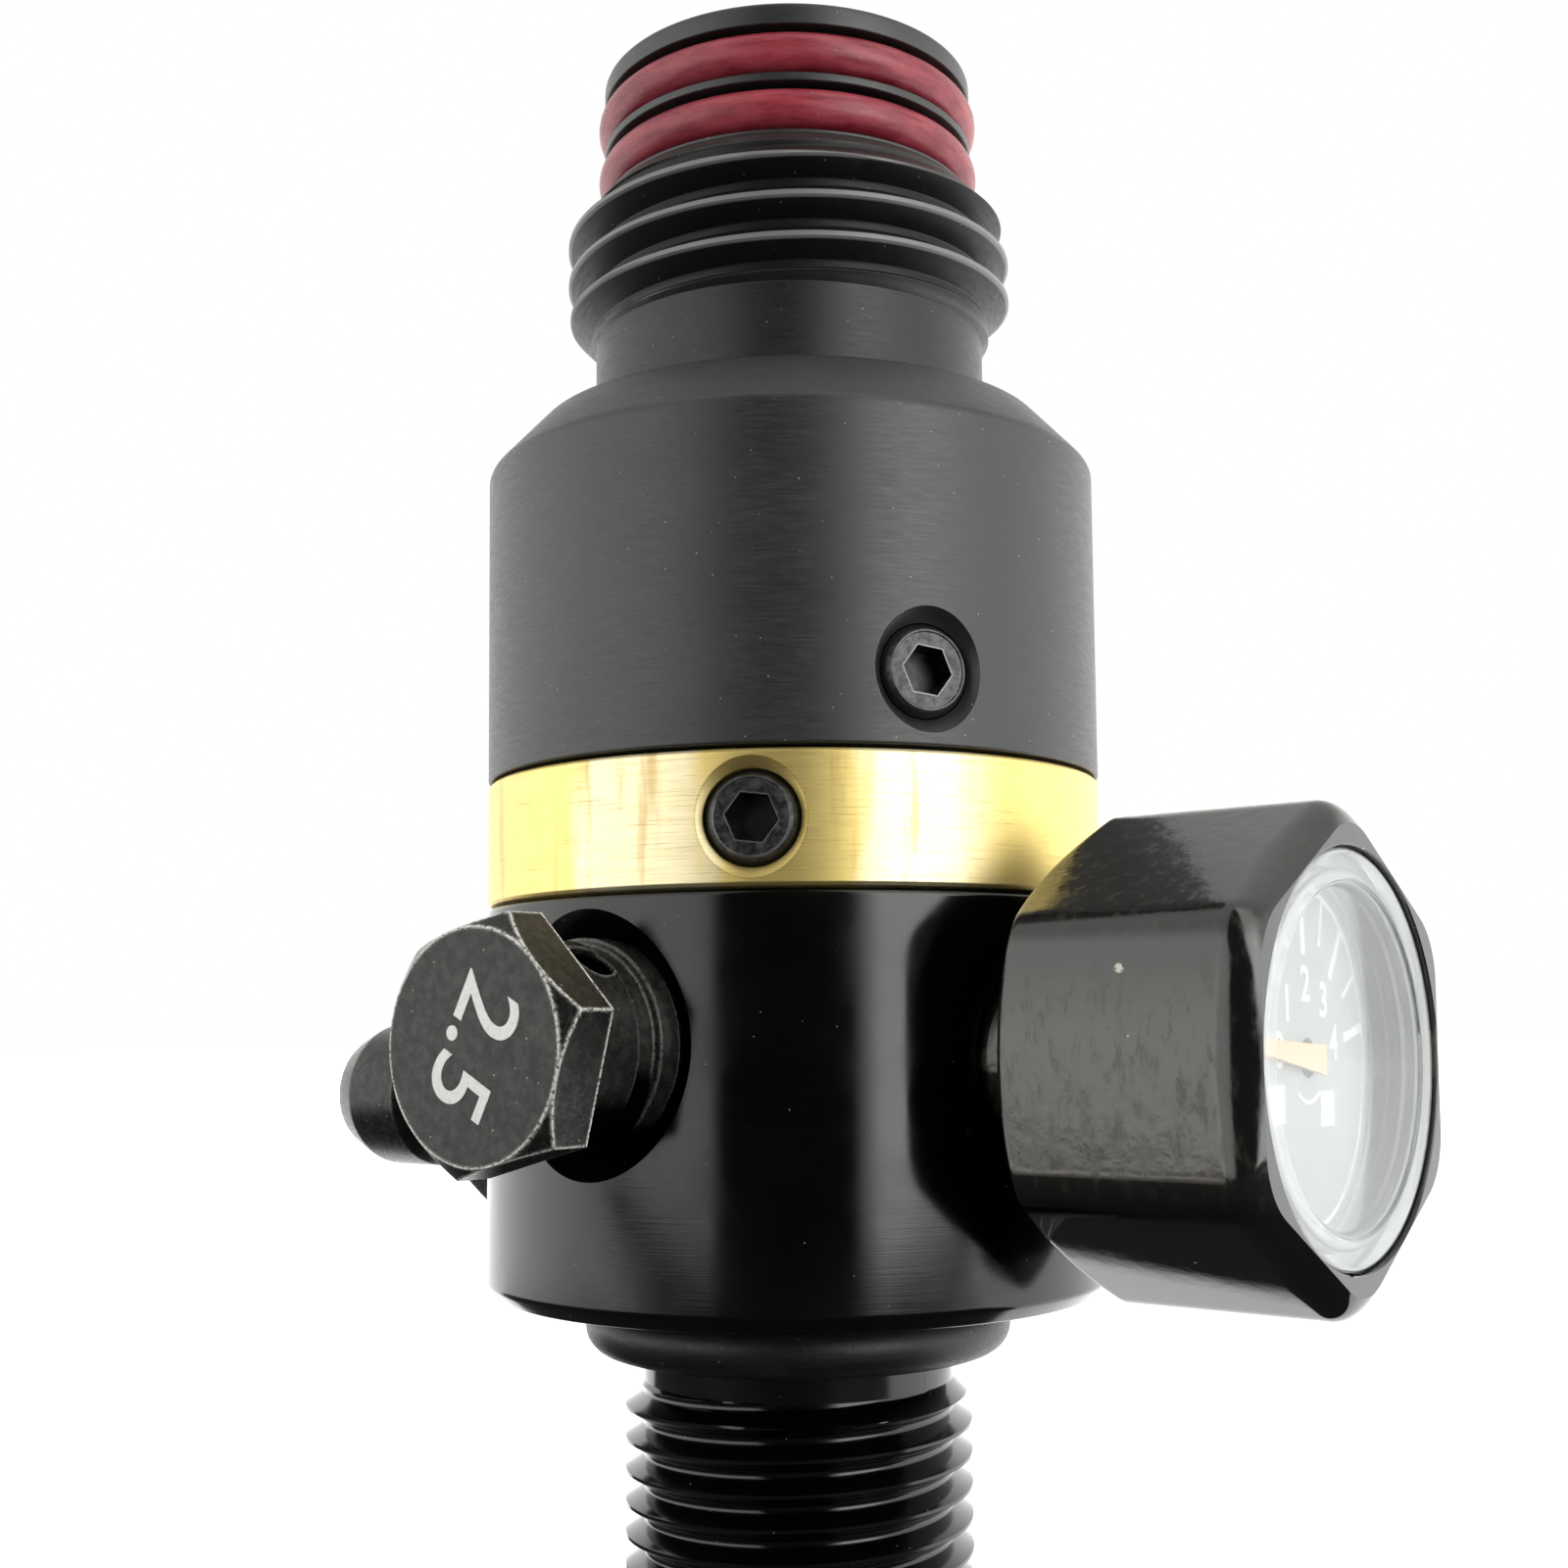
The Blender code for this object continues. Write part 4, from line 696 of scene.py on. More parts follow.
def make_bright_black():
    """Gloss black anodising over a turned surface."""
    look = Look("bright_black", 0.003, 0.0, 0.12)
    marks = look.noise(1.0, 4.0, 0.65, (0.12, 0.12, 16.0))
    cloud = look.noise(0.3, 4.0)
    streak = look.blend(look.reach(marks, 0.5, 0.75), 0.001, (0.003, 0.0028, 0.0025))
    look.color(look.blend(look.specks(0.06, 0.05), streak, (0.5, 0.49, 0.47)))
    look.set("Roughness", look.reach(cloud, 0.3, 0.7, 0.1, 0.18))
    look.set("Specular IOR Level", 0.55)
    return look.relief(marks, 0.003, 0.5)


def make_brass():
    """Polished brass with fine scratches round it and soft brown streaks, and two paler bands at fixed
    bearings that are a painted highlight.
    """
    look = Look("polished_brass", (0.95, 0.74, 0.32), 1.0, 0.38)
    marks = look.noise(1.0, 5.0, 0.75, (0.3, 0.3, 24.0))
    streak = look.noise(0.55, 4.0, 0.6, (1.0, 1.0, 0.12))
    sway = look.reach(look.noise(0.5, 2.0, stretch=(1.0, 1.0, 0.3)), 0.2, 0.8, -3.0, 3.0)
    turn = look.math("ADD", look.bearing(look.spot()), sway)
    # Painted highlight: two bands round the ring, at the bearings where the brightest reflections fall, are
    # painted paler and whiter.
    painted_highlight_left = look.band(turn, -42.0, -37.0, -17.0, -12.0)
    painted_highlight_right = look.band(turn, 9.0, 13.0, 27.0, 39.0)
    brightened = look.math("MAXIMUM", painted_highlight_left, painted_highlight_right)
    gold_and_painted_highlight = look.blend(brightened, (0.95, 0.74, 0.27), (1.0, 0.87, 0.56))
    color = look.blend(look.reach(streak, 0.56, 0.72, 0.0, 0.7), gold_and_painted_highlight, (0.62, 0.42, 0.16))
    scratched = look.blend(look.reach(marks, 0.54, 0.66, 0.0, 0.8), color, (0.55, 0.38, 0.16))
    edge = look.times(look.edges(0.1, 0.01, 0.06), look.reach(marks, 0.4, 0.55, 0.3, 0.9))
    look.color(look.blend(edge, scratched, (0.4, 0.24, 0.07)))
    look.set("Roughness", look.reach(marks, 0.3, 0.7, 0.4, 0.54))
    look.set("Anisotropic", 0.4)
    look.set("Anisotropic Rotation", 0.25)
    tangent = look.node("ShaderNodeTangent", direction_type="RADIAL", axis="Z")
    look.set("Tangent", tangent.outputs[0])
    return look.relief(marks, 0.006, 0.5)


def make_burnished():
    """Blackened bronze, bright along its edges from wear, with painted shade inside the hole across a plug:
    black there and without shine.
    """
    look = Look("burnished_bronze", (0.03, 0.028, 0.025), 0.2, 0.38)
    mottle = look.noise(2.2, 5.0, 0.65)
    fine = look.noise(7.0, 4.0, 0.7)
    off_axis = look.off_axis()
    base = look.blend(look.reach(mottle, 0.35, 0.7), (0.008, 0.008, 0.0085), (0.026, 0.024, 0.021))
    rub = look.times(look.edges(0.22, 0.008, 0.035), look.reach(fine, 0.4, 0.5, 0.1, 1.0))
    rub = look.times(rub, look.reach(off_axis, 17.5, 18.3, 0.2, 1.0))
    scuffed = look.blend(look.times(look.specks(0.1, 0.25), 0.8), base, (0.6, 0.57, 0.5))
    brightened = look.blend(rub, scuffed, (0.98, 0.96, 0.92))
    # Painted shade: inside the plug's bore, below its head, the surface is painted black and its shine is
    # taken away.
    nearest = look.math("MINIMUM", look.off_axis(LOW_BURST_PORT), look.off_axis(HIGH_BURST_PORT))
    inside = look.reach(nearest, PLUG_NECK_RADIUS - 0.05, PLUG_NECK_RADIUS - 0.2)
    hole = look.times(inside, look.reach(off_axis, 17.95, 17.7))
    look.color(look.blend(hole, brightened, 0.001))
    look.set("Metallic", look.reach(rub, 0.1, 0.8, 0.15, 0.1))
    look.set("Roughness", look.reach(fine, 0.3, 0.7, 0.22, 0.42))
    shine = look.reach(mottle, 0.35, 0.7, 0.36, 0.5)
    look.set("Specular IOR Level", look.times(shine, look.inverse(hole)))
    return look.relief(fine, 0.008, 0.5)


def make_black_oxide():
    """Oiled black oxide on steel, grey in patches on the face, with painted shade in the socket: black there
    and not metallic.
    """
    look = Look("black_oxide", (0.03, 0.03, 0.033), 0.6, 0.3)
    mottle = look.noise(3.0, 5.0, 0.65)
    face = look.blend(look.reach(mottle, 0.35, 0.65), (0.025, 0.026, 0.029), 0.09)
    # Painted shade: deep in the socket, below the face, the surface is painted black and loses its metal
    # sheen.
    deep = look.reach(look.off_axis(), RADIUS - 0.24, RADIUS - 0.36)
    edged = look.blend(look.edges(0.1, 0.01, 0.06), face, (0.3, 0.3, 0.29))
    look.color(look.blend(deep, edged, 0.004))
    look.set("Metallic", look.times(look.inverse(deep), 0.7))
    look.set("Roughness", look.reach(mottle, 0.3, 0.7, 0.3, 0.45))
    return look.relief(mottle, 0.01, 0.4)


def make_rubber(name, dark, light, roughness):
    """Moulded rubber: cloudy, faintly marked by handling, with a little dust."""
    look = Look(name, dark, 0.0, roughness)
    cloud = look.noise(1.0, 4.0, 0.6, (0.5, 0.5, 2.5))
    fine = look.noise(8.0, 3.0, 0.6)
    tone = look.blend(look.reach(cloud, 0.3, 0.7), dark, light)
    look.color(look.blend(look.specks(0.06, 0.08), tone, (0.55, 0.5, 0.48)))
    look.set("Roughness", look.reach(fine, 0.3, 0.7, roughness - 0.06, roughness + 0.1))
    return look.relief(look.math("ADD", fine, cloud), 0.012, 0.5)


def make_lacquer():
    """Thick gloss black lacquer with chips and scuffs. Two flats are paler lower down, partly dust and partly
    painted light, and low down the case is painted darker, a painted shade, and smooth.
    """
    look = Look("gauge_lacquer", 0.006, 0.0, 0.14)
    wave = look.noise(0.9)
    scuff = look.noise(2.0, 5.0, 0.7, (1.0, 1.0, 0.4))
    scuffed = look.reach(scuff, 0.52, 0.66)
    chips = look.math("MAXIMUM", look.specks(0.2, 0.12), look.specks(0.5, 0.1))
    height = look.height()
    # Partly dust and partly painted light: the two side flats are painted paler below their middle, where
    # more light falls.
    dust_and_painted_light = look.times(look.facing(GAUGE_PORT.col[0][:3]), look.reach(height, 15.0, 11.0))
    # Painted shade: low down the case is painted nearly black. It is also smoother there and has fewer chips.
    low = look.reach(height, 6.0, 5.0)
    base = look.blend(scuffed, (0.008, 0.0075, 0.007), (0.02, 0.018, 0.015))
    wear_and_painted_light = look.blend(scuffed, (0.08, 0.072, 0.055), (0.03, 0.026, 0.021))
    shaded = look.blend(low, look.blend(dust_and_painted_light, base, wear_and_painted_light), 0.003)
    chipped = look.times(chips, look.inverse(look.times(low, 0.8)))
    smooth = look.inverse(look.times(low, 0.85))
    look.color(look.blend(chipped, shaded, (0.75, 0.72, 0.6)))
    look.set("Roughness", look.times(look.reach(scuff, 0.4, 0.7, 0.1, 0.26), smooth))
    look.set("Specular IOR Level", 0.8)
    dents = look.math("MULTIPLY_ADD", chips, 0.4, wave)
    return look.relief(look.times(dents, smooth), 0.03, 0.5)


def make_dial_enamel():
    """Pale grey enamel, a little cloudy."""
    look = Look("dial_enamel", (0.47, 0.49, 0.5), 0.0, 0.6)
    cloud = look.noise(0.8, 4.0)
    look.color(look.blend(cloud, (0.4, 0.425, 0.435), (0.54, 0.56, 0.565)))
    return look.relief(look.noise(12.0, 2.0), 0.004, 0.3)


def make_paint(name, color, roughness=0.45):
    """A coat of paint or ink, slightly uneven."""
    look = Look(name, color, 0.0, roughness)
    patchy = look.noise(6.0, 4.0, 0.65)
    darker = tuple(part * 0.8 for part in color)
    look.color(look.blend(look.reach(patchy, 0.45, 0.75), color, darker))
    return look.relief(patchy, 0.01, 0.4)


def make_clear():
    """Clear polycarbonate, lightly hazed and milky in its rim, that lets the light through to the dial."""
    look = Look("clear_lens", (0.94, 0.955, 0.96), 0.0, 0.06)
    rim = look.reach(look.off_axis(GAUGE_PORT), LENS_RADIUS - LENS_RIM, LENS_RADIUS - LENS_RIM + 0.2)
    look.set("Transmission Weight", look.math("MULTIPLY_ADD", rim, -0.18, 0.98))
    look.set("IOR", 1.58)
    clouded = look.reach(look.noise(0.7, 4.0, 0.6), 0.35, 0.7, 0.02, 0.08)
    look.set("Roughness", look.math("MULTIPLY_ADD", rim, 0.08, clouded))
    path = look.node("ShaderNodeLightPath")
    passing = look.math("MAXIMUM", path.outputs["Is Shadow Ray"], path.outputs["Is Diffuse Ray"])
    through = look.node("ShaderNodeBsdfTransparent", {"Color": (0.94, 0.95, 0.95)}).outputs[0]
    inputs = {0: passing, 1: look.shader.outputs[0], 2: through}
    mixed = look.node("ShaderNodeMixShader", inputs).outputs[0]
    look.feed(look.tree.nodes["Material Output"].inputs[0], mixed)
    return look.relief(look.noise(1.2, 2.0), 0.004, 0.3)


def make_metal(name, color, roughness):
    """Plain turned metal, with fine marks round its axis."""
    look = Look(name, color, 1.0, roughness)
    marks = look.noise(1.0, 4.0, 0.7, (0.4, 0.4, 18.0))
    darker = tuple(part * 0.75 for part in color)
    look.color(look.blend(look.reach(marks, 0.5, 0.75), color, darker))
    look.set("Roughness", look.reach(marks, 0.3, 0.7, roughness - 0.06, roughness + 0.08))
    return look.relief(marks, 0.006, 0.4)


def make_sintered():
    """Bronze balls pressed together, with painted shade in the pores between them."""
    look = Look("sintered_bronze", (0.45, 0.31, 0.17), 0.9, 0.5)
    balls = look.node("ShaderNodeTexVoronoi", {"Vector": look.spot(), "Scale": 5.0})
    distance = balls.outputs["Distance"]
    # Painted shade: the pores between the balls are painted dark.
    between = look.reach(distance, 0.25, 0.7)
    look.color(look.blend(between, (0.5, 0.35, 0.19), (0.09, 0.06, 0.03)))
    return look.relief(look.inverse(distance), 0.1, 1.0)


def make_acetal():
    """White moulded plastic."""
    look = Look("white_acetal", (0.8, 0.8, 0.77), 0.0, 0.4)
    cloud = look.noise(1.5)
    look.color(look.blend(cloud, (0.74, 0.74, 0.7), (0.84, 0.84, 0.81)))
    return look.relief(cloud, 0.01, 0.3)


FINISHES = {
    "bonnet_black": make_anodised(),
    "body_black": make_bright_black(),
    "plug_bronze": make_burnished(),
    "brass": make_brass(),
    "steel": make_metal("ground_steel", (0.6, 0.6, 0.6), 0.26),
    "black_steel": make_black_oxide(),
    "copper": make_metal("soft_copper", (0.8, 0.42, 0.26), 0.3),
    "sintered": make_sintered(),
    "red_rubber": make_rubber("red_rubber", (0.2, 0.008, 0.022), (0.36, 0.05, 0.07), 0.36),
    "black_rubber": make_rubber("black_rubber", (0.006, 0.006, 0.006), (0.014, 0.014, 0.0135), 0.42),
    "white_plastic": make_acetal(),
    "gauge_black": make_lacquer(),
    "dial": make_dial_enamel(),
    "pointer": make_paint("pointer_orange", (1.0, 0.66, 0.4)),
    "lens": make_clear(),
}
WHITE_INK = make_paint("white_ink", (0.97, 0.97, 0.96))


# Body, jam ring and bonnet


def make_valve_body():
    outline = [
        (RELIEF_RADIUS, TANK_THREAD_TOP), (RELIEF_RADIUS, 0, 0.15),
        (RADIUS - BODY_FOOT, 0, 0.1),
        (RADIUS, BODY_FOOT, 0.15), (RADIUS, BODY_TOP + JOINT_FILL, BODY_EDGE),
        (SPIGOT_RADIUS, BODY_TOP + JOINT_FILL), (SPIGOT_RADIUS, SPIGOT_TOP, 0.4),
        (POCKET_RADIUS, SPIGOT_TOP, 0.2), (POCKET_RADIUS, POCKET_FLOOR, 0.3),
        (STEM_HOLE_RADIUS, POCKET_FLOOR, 0.2), (STEM_HOLE_RADIUS, INLET_TOP),
        (INLET_RADIUS, INLET_TOP), (INLET_RADIUS, BODY_BOTTOM, 0.4),
        (TANK_END_RADIUS, BODY_BOTTOM),
    ]
    thread = helix(TANK_THREAD, RELIEF_RADIUS, TANK_END_RADIUS, TANK_THREAD_TOP, BODY_BOTTOM)
    body = welded("regulator_body", [rings(outline), thread])
    pipe_hole = bar(PIPE_PORT_RADIUS, 2 * RADIUS, PORT_FLOOR)
    cut(
        body,
        turned("gauge_port", pipe_hole, GAUGE_PORT, FEW_COLUMNS),
        turned("nipple_port", pipe_hole, NIPPLE_PORT, FEW_COLUMNS),
        sunk_hole("low_burst_port", PLUG_HOLE, LOW_BURST_PORT),
        sunk_hole("high_burst_port", PLUG_HOLE, HIGH_BURST_PORT),
    )
    true_cylinder(body)
    dress(body, "body_black", "valve_body")


def make_seal(name, node, slot, body):
    """A round ring in a seal's CAD box. The CAD seal is hexagonal in section, so its box is lower."""
    low, high = extent(node)
    section = (high.z - low.z) / 2 / math.cos(math.pi / 6)
    middle = (high.z + low.z) / 2
    circle = arc(section, 0, 360, SEAL_STEPS)[:-1]
    seal = turned(name, [(high.x - section + x, middle + y) for x, y in circle])
    dress(seal, slot, node, body=body)


def make_set_screw(node, body):
    """A socket set screw: a flat face with a raised lip round it, and a chamfer down to its thread."""
    matrix = port_frame(node)
    outline = [
        (0, SCREW_FACE - SCREW_LIP),
        (SCREW_LIP_RADIUS - 0.06, SCREW_FACE - SCREW_LIP, 0.02),
        (SCREW_LIP_RADIUS, SCREW_FACE, 0.03),
        (SCREW_FACE_RADIUS, SCREW_FACE, 0.03),
        (SCREW_RADIUS, SCREW_FACE - SCREW_CHAMFER, 0.05), (SCREW_RADIUS, SCREW_INNER_END, 0.2),
        (0, SCREW_INNER_END),
    ]
    screw = turned(node + "_piece", outline, matrix, FEW_COLUMNS)
    hexagon = arc(SCREW_SOCKET / 2 / math.cos(math.pi / 6), 30, 330, 5)
    floor = SCREW_FACE - SCREW_SOCKET_DEPTH
    cut(screw, slab("socket", [hexagon], floor, SCREW_FACE + 1, matrix @ spun(SCREW_TURN)))
    dress(screw, "black_steel", node, body=body)


def make_lock_ring():
    high = RING_TOP + JOINT_FILL
    low = RING_BOTTOM - JOINT_FILL
    outline = [
        (RADIUS - RING_EDGE, high, 0.04),
        (RADIUS, high - RING_EDGE, 0.04), (RADIUS, low + RING_EDGE, 0.04),
        (RADIUS - RING_EDGE, low, 0.04),
        (RING_BORE_RADIUS, low, 0.1), (RING_BORE_RADIUS, high, 0.1),
    ]
    jam_ring = turned("jam_ring", outline)
    cut(jam_ring, sunk_hole("ring_screw_hole", RING_SCREW_HOLE, port_frame("ring_set_screw")))
    true_cylinder(jam_ring)
    dress(jam_ring, "brass", "lock_ring", body="lock_ring")
    make_set_screw("ring_set_screw", "ring_screw")


def make_bonnet():
    grooves = []
    for low in GROOVE_BOTTOMS:
        high = low + GROOVE_HEIGHT
        grooves += [(NOSE_RADIUS, low, 0.08), (GROOVE_RADIUS, low, 0.15)]
        grooves += [(GROOVE_RADIUS, high, 0.15), (NOSE_RADIUS, high, 0.08)]
    outline = [
        (NOSE_RADIUS, NOSE_THREAD_TOP),
        *grooves,
        (NOSE_RADIUS, NOSE_TOP, NOSE_EDGE),
        (NOSE_BORE_RADIUS, NOSE_TOP, NOSE_EDGE), (NOSE_BORE_RADIUS, PIN_VALVE_SEAT),
        (OUTLET_RADIUS, PIN_VALVE_SEAT), (OUTLET_RADIUS, CHAMBER_TOP),
        (CHAMBER_RADIUS, CHAMBER_TOP, 0.3), (CHAMBER_RADIUS, SPIGOT_TOP + GAP),
        (RING_BORE_RADIUS, SPIGOT_TOP + GAP), (RING_BORE_RADIUS, BONNET_BOTTOM - JOINT_FILL, 0.1),
        (RADIUS, BONNET_BOTTOM - JOINT_FILL, 0.14), (RADIUS, CONE_BOTTOM, 0.25),
        (LEDGE_RADIUS, LEDGE, 0.2),
        (NECK_RADIUS, LEDGE, 0.35), (NECK_RADIUS, NOSE_THREAD_BOTTOM),
    ]
    thread = helix(NOSE_THREAD, NOSE_RADIUS, NECK_RADIUS, NOSE_THREAD_TOP, NOSE_THREAD_BOTTOM)
    bonnet = welded("bonnet_shell", [rings(outline), thread])
    cut(bonnet, sunk_hole("bonnet_screw_hole", BONNET_SCREW_HOLE, port_frame("bonnet_set_screw")))
    true_cylinder(bonnet)
    dress(bonnet, "bonnet_black", "bonnet", body="bonnet")
    make_set_screw("bonnet_set_screw", "bonnet_screw")
    for node in ("nose_oring_upper", "nose_oring_lower"):
        make_seal(node + "_piece", node, "red_rubber", "bonnet")


def make_tank_end():
    make_seal("neck_oring", "tank_neck_oring", "black_rubber", "valve_body")
    low, high = extent("inlet_filter")
    outline = [(0, high.z), (high.x, high.z, 0.1), (high.x, low.z, 0.1), (0, low.z)]
    dress(turned("inlet_filter_disc", outline), "sintered", "inlet_filter")


def make_pin_valve():
    outline = [
        (PIN_VALVE_RADIUS, PIN_VALVE_TOP, 0.35), (PIN_VALVE_RADIUS, PIN_VALVE_BOTTOM, 0.2),
        (PIN_VALVE_BORE_RADIUS, PIN_VALVE_BOTTOM), (PIN_VALVE_BORE_RADIUS, PIN_VALVE_ROOF),
        (PIN_HOLE_RADIUS, PIN_VALVE_ROOF), (PIN_HOLE_RADIUS, PIN_VALVE_TOP, 0.2),
    ]
    valve = turned("pin_valve", outline)
    reach, half = 2 * PIN_VALVE_RADIUS, DRIVER_SLOT_WIDTH / 2
    low, high = PIN_VALVE_TOP - DRIVER_SLOT_DEPTH, PIN_VALVE_TOP + DRIVER_SLOT_DEPTH
    cut(valve, slab("driver_slot", [rectangle(-reach, half, reach, -half)], low, high))
    dress(valve, "brass", "pin_valve_body", body="bonnet")
    outline = [
        (0, PIN_TOP),
        (PIN_RADIUS, PIN_TOP, 0.45), (PIN_RADIUS, PIN_FLANGE_TOP),
        (PIN_FLANGE_RADIUS, PIN_FLANGE_TOP, 0.1), (PIN_FLANGE_RADIUS, PIN_FLANGE_BOTTOM, 0.1),
        (PIN_TAIL_RADIUS, PIN_FLANGE_BOTTOM), (PIN_TAIL_RADIUS, PIN_BOTTOM, 0.2),
        (0, PIN_BOTTOM),
    ]
    pin = turned("pin", outline, columns=FEW_COLUMNS)
    dress(pin, "steel", "valve_pin", body="valve_pin")


# Gauge


def case_radius(angle, height):
    """The gauge case's outside: a rounded hexagon, turned off at the back and rolled in at the front."""
    length = CASE_ROLL_LENGTH + CASE_ROLL_LONGER * (1 + math.cos(6 * angle)) / 2
    reach = max(0.0, length - (CASE_FRONT - height))
    roll_radius = (length**2 + CASE_ROLL_DEPTH**2) / (2 * CASE_ROLL_DEPTH)
    roll = roll_radius - math.sqrt(roll_radius**2 - reach**2)
    corner = CASE_CORNER + CASE_CORNER_GROWTH * (reach / length) ** 2
    flats = hexagon_radius(angle + math.pi / 6, CASE_APOTHEM - roll, corner)
    cone = CASE_BACK_RADIUS + (height - CASE_BACK) / CASE_BACK_SLOPE
    return soft_least(flats, cone, CASE_BACK_BLEND)


def make_gauge_case():
    longest = CASE_ROLL_LENGTH + CASE_ROLL_LONGER
    levels = [CASE_BACK + CASE_BACK_STEP * step for step in range(CASE_BACK_STEPS)]
    levels += [CASE_FRONT - longest * (1 - step / CASE_ROLL_STEPS) for step in range(CASE_ROLL_STEPS + 1)]
    rows = [ring(lambda angle, at=at: case_radius(angle, at), at, CASE_COLUMNS) for at in levels]
    inside = [
        (CASE_BORE_RADIUS + 0.05, CASE_FRONT),
        (CASE_BORE_RADIUS, CASE_FRONT - 0.05), (CASE_BORE_RADIUS, CASE_FLOOR, 0.3),
        (CASE_POST_HOLE, CASE_FLOOR), (CASE_POST_HOLE, CASE_BACK),
    ]
    rows += rings(inside, columns=CASE_COLUMNS)
    rows.append(rows[0])
    dress(welded("gauge_housing", [rows], GAUGE_PORT), "gauge_black", "gauge_case")


def make_gauge_stem():
    outline = [
        (0, POST_TOP),
        (POST_RADIUS, POST_TOP, 0.2), (POST_RADIUS, CASE_BACK - GAP),
        (STEM_RADIUS, CASE_BACK - GAP, 0.2), (STEM_RADIUS, COLLAR_GROOVE + 0.3, 0.08),
        (COLLAR_GROOVE_RADIUS, COLLAR_GROOVE + 0.15, 0.08),
        (COLLAR_GROOVE_RADIUS, COLLAR_GROOVE - 0.15, 0.08),
        (COLLAR_RADIUS, COLLAR_GROOVE - 0.3, 0.1), (COLLAR_RADIUS, COLLAR_BACK, 0.1),
        (STEM_THREAD_RADIUS, COLLAR_BACK), (STEM_THREAD_RADIUS, PORT_FLOOR + GAP, 0.3),
        (STEM_BORE_RADIUS, PORT_FLOOR + GAP), (STEM_BORE_RADIUS, POST_TOP - STEM_BORE_RADIUS),
        (0, POST_TOP - STEM_BORE_RADIUS),
    ]
    dress(turned("gauge_post", outline, GAUGE_PORT), "gauge_black", "gauge_stem")


def make_lens():
    rim_radius = LENS_RADIUS - LENS_RIM
    outline = [
        (0, LENS_FRONT - LENS_RIM_RISE),
        (rim_radius, LENS_FRONT - LENS_RIM_RISE, 0.1),
        (rim_radius + 0.1, LENS_FRONT, 0.08),
        (LENS_RADIUS, LENS_FRONT, 0.25), (LENS_RADIUS, DIAL_FRONT + GAP, 0.05),
        (LENS_SKIRT_RADIUS, DIAL_FRONT + GAP, 0.05), (LENS_SKIRT_RADIUS, LENS_BACK, 0.25),
        (0, LENS_BACK),
    ]
    dress(turned("lens", outline, GAUGE_PORT), "lens", "gauge_lens")


def tick(angle, inner, outer, width):
    """A radial bar at an angle in degrees."""
    along = Vector((math.cos(math.radians(angle)), math.sin(math.radians(angle))))
    across = Vector((-along.y, along.x)) * width / 2
    corners = (along * inner + across, along * inner - across, along * outer - across, along * outer + across)
    return [tuple(corner) for corner in corners]


def make_dial():
    outline = [
        (LENS_RADIUS, DIAL_FRONT, 0.08), (LENS_RADIUS, DIAL_FRONT - DIAL_THICKNESS),
        (DIAL_HOLE_RADIUS, DIAL_FRONT - DIAL_THICKNESS), (DIAL_HOLE_RADIUS, DIAL_FRONT),
    ]
    dress(turned("dial_plate", outline, GAUGE_PORT), "dial", "gauge_dial")

    half = SCALE_LINE / 2
    shapes = [arc_band(SCALE_RADIUS - half, SCALE_RADIUS + half, SCALE_START, SCALE_ARC_END, 90)]
    for step in range(2 * SCALE_STEPS + 1):
        length, width = SHORT_TICK if step % 2 else LONG_TICK
        angle = SCALE_START - SCALE_STEP * step / 2
        shapes.append(tick(angle, SCALE_RADIUS - length, SCALE_RADIUS, width))
    # Plain blocks and an arc stand where the dial's legend is.
    shapes += [rectangle(-3.7, -1.0, -2.5, -2.5), rectangle(1.2, -1.4, 2.7, -2.8)]
    shapes.append(arc_band(1.7, 1.85, -52, -130, 12))
    marks = slab("dial_scale", shapes, DIAL_FRONT, DIAL_FRONT + PRINT_HEIGHT, GAUGE_PORT)
    dress(marks, "dial", material=WHITE_INK)

    for number in range(SCALE_STEPS + 1):
        angle = math.radians(SCALE_START - SCALE_STEP * number)
        middle = polar(NUMERAL_RADIUS, angle, DIAL_FRONT + PRINT_HEIGHT / 2)
        at = GAUGE_PORT @ Matrix.Translation(middle * MM)
        numeral = solid_text(f"dial_number_{number}", str(number), NUMERAL_SIZE, PRINT_HEIGHT, 0.02, at)
        dress(numeral, "dial", material=WHITE_INK)


def make_pointer():
    """A broad hand that tapers towards its tip, with a square tail."""
    hand = [(5.3, 0.27), (5.3, -0.27), (-1.0, -0.6), (-1.0, 0.6)]
    top = POINTER_BOTTOM + POINTER_THICKNESS
    pointer = slab("pointer_hand", [hand], POINTER_BOTTOM, top, GAUGE_PORT @ spun(POINTER_ANGLE))
    dress(pointer, "pointer", "gauge_pointer", body="pointer")


# Burst plugs and fill nipple


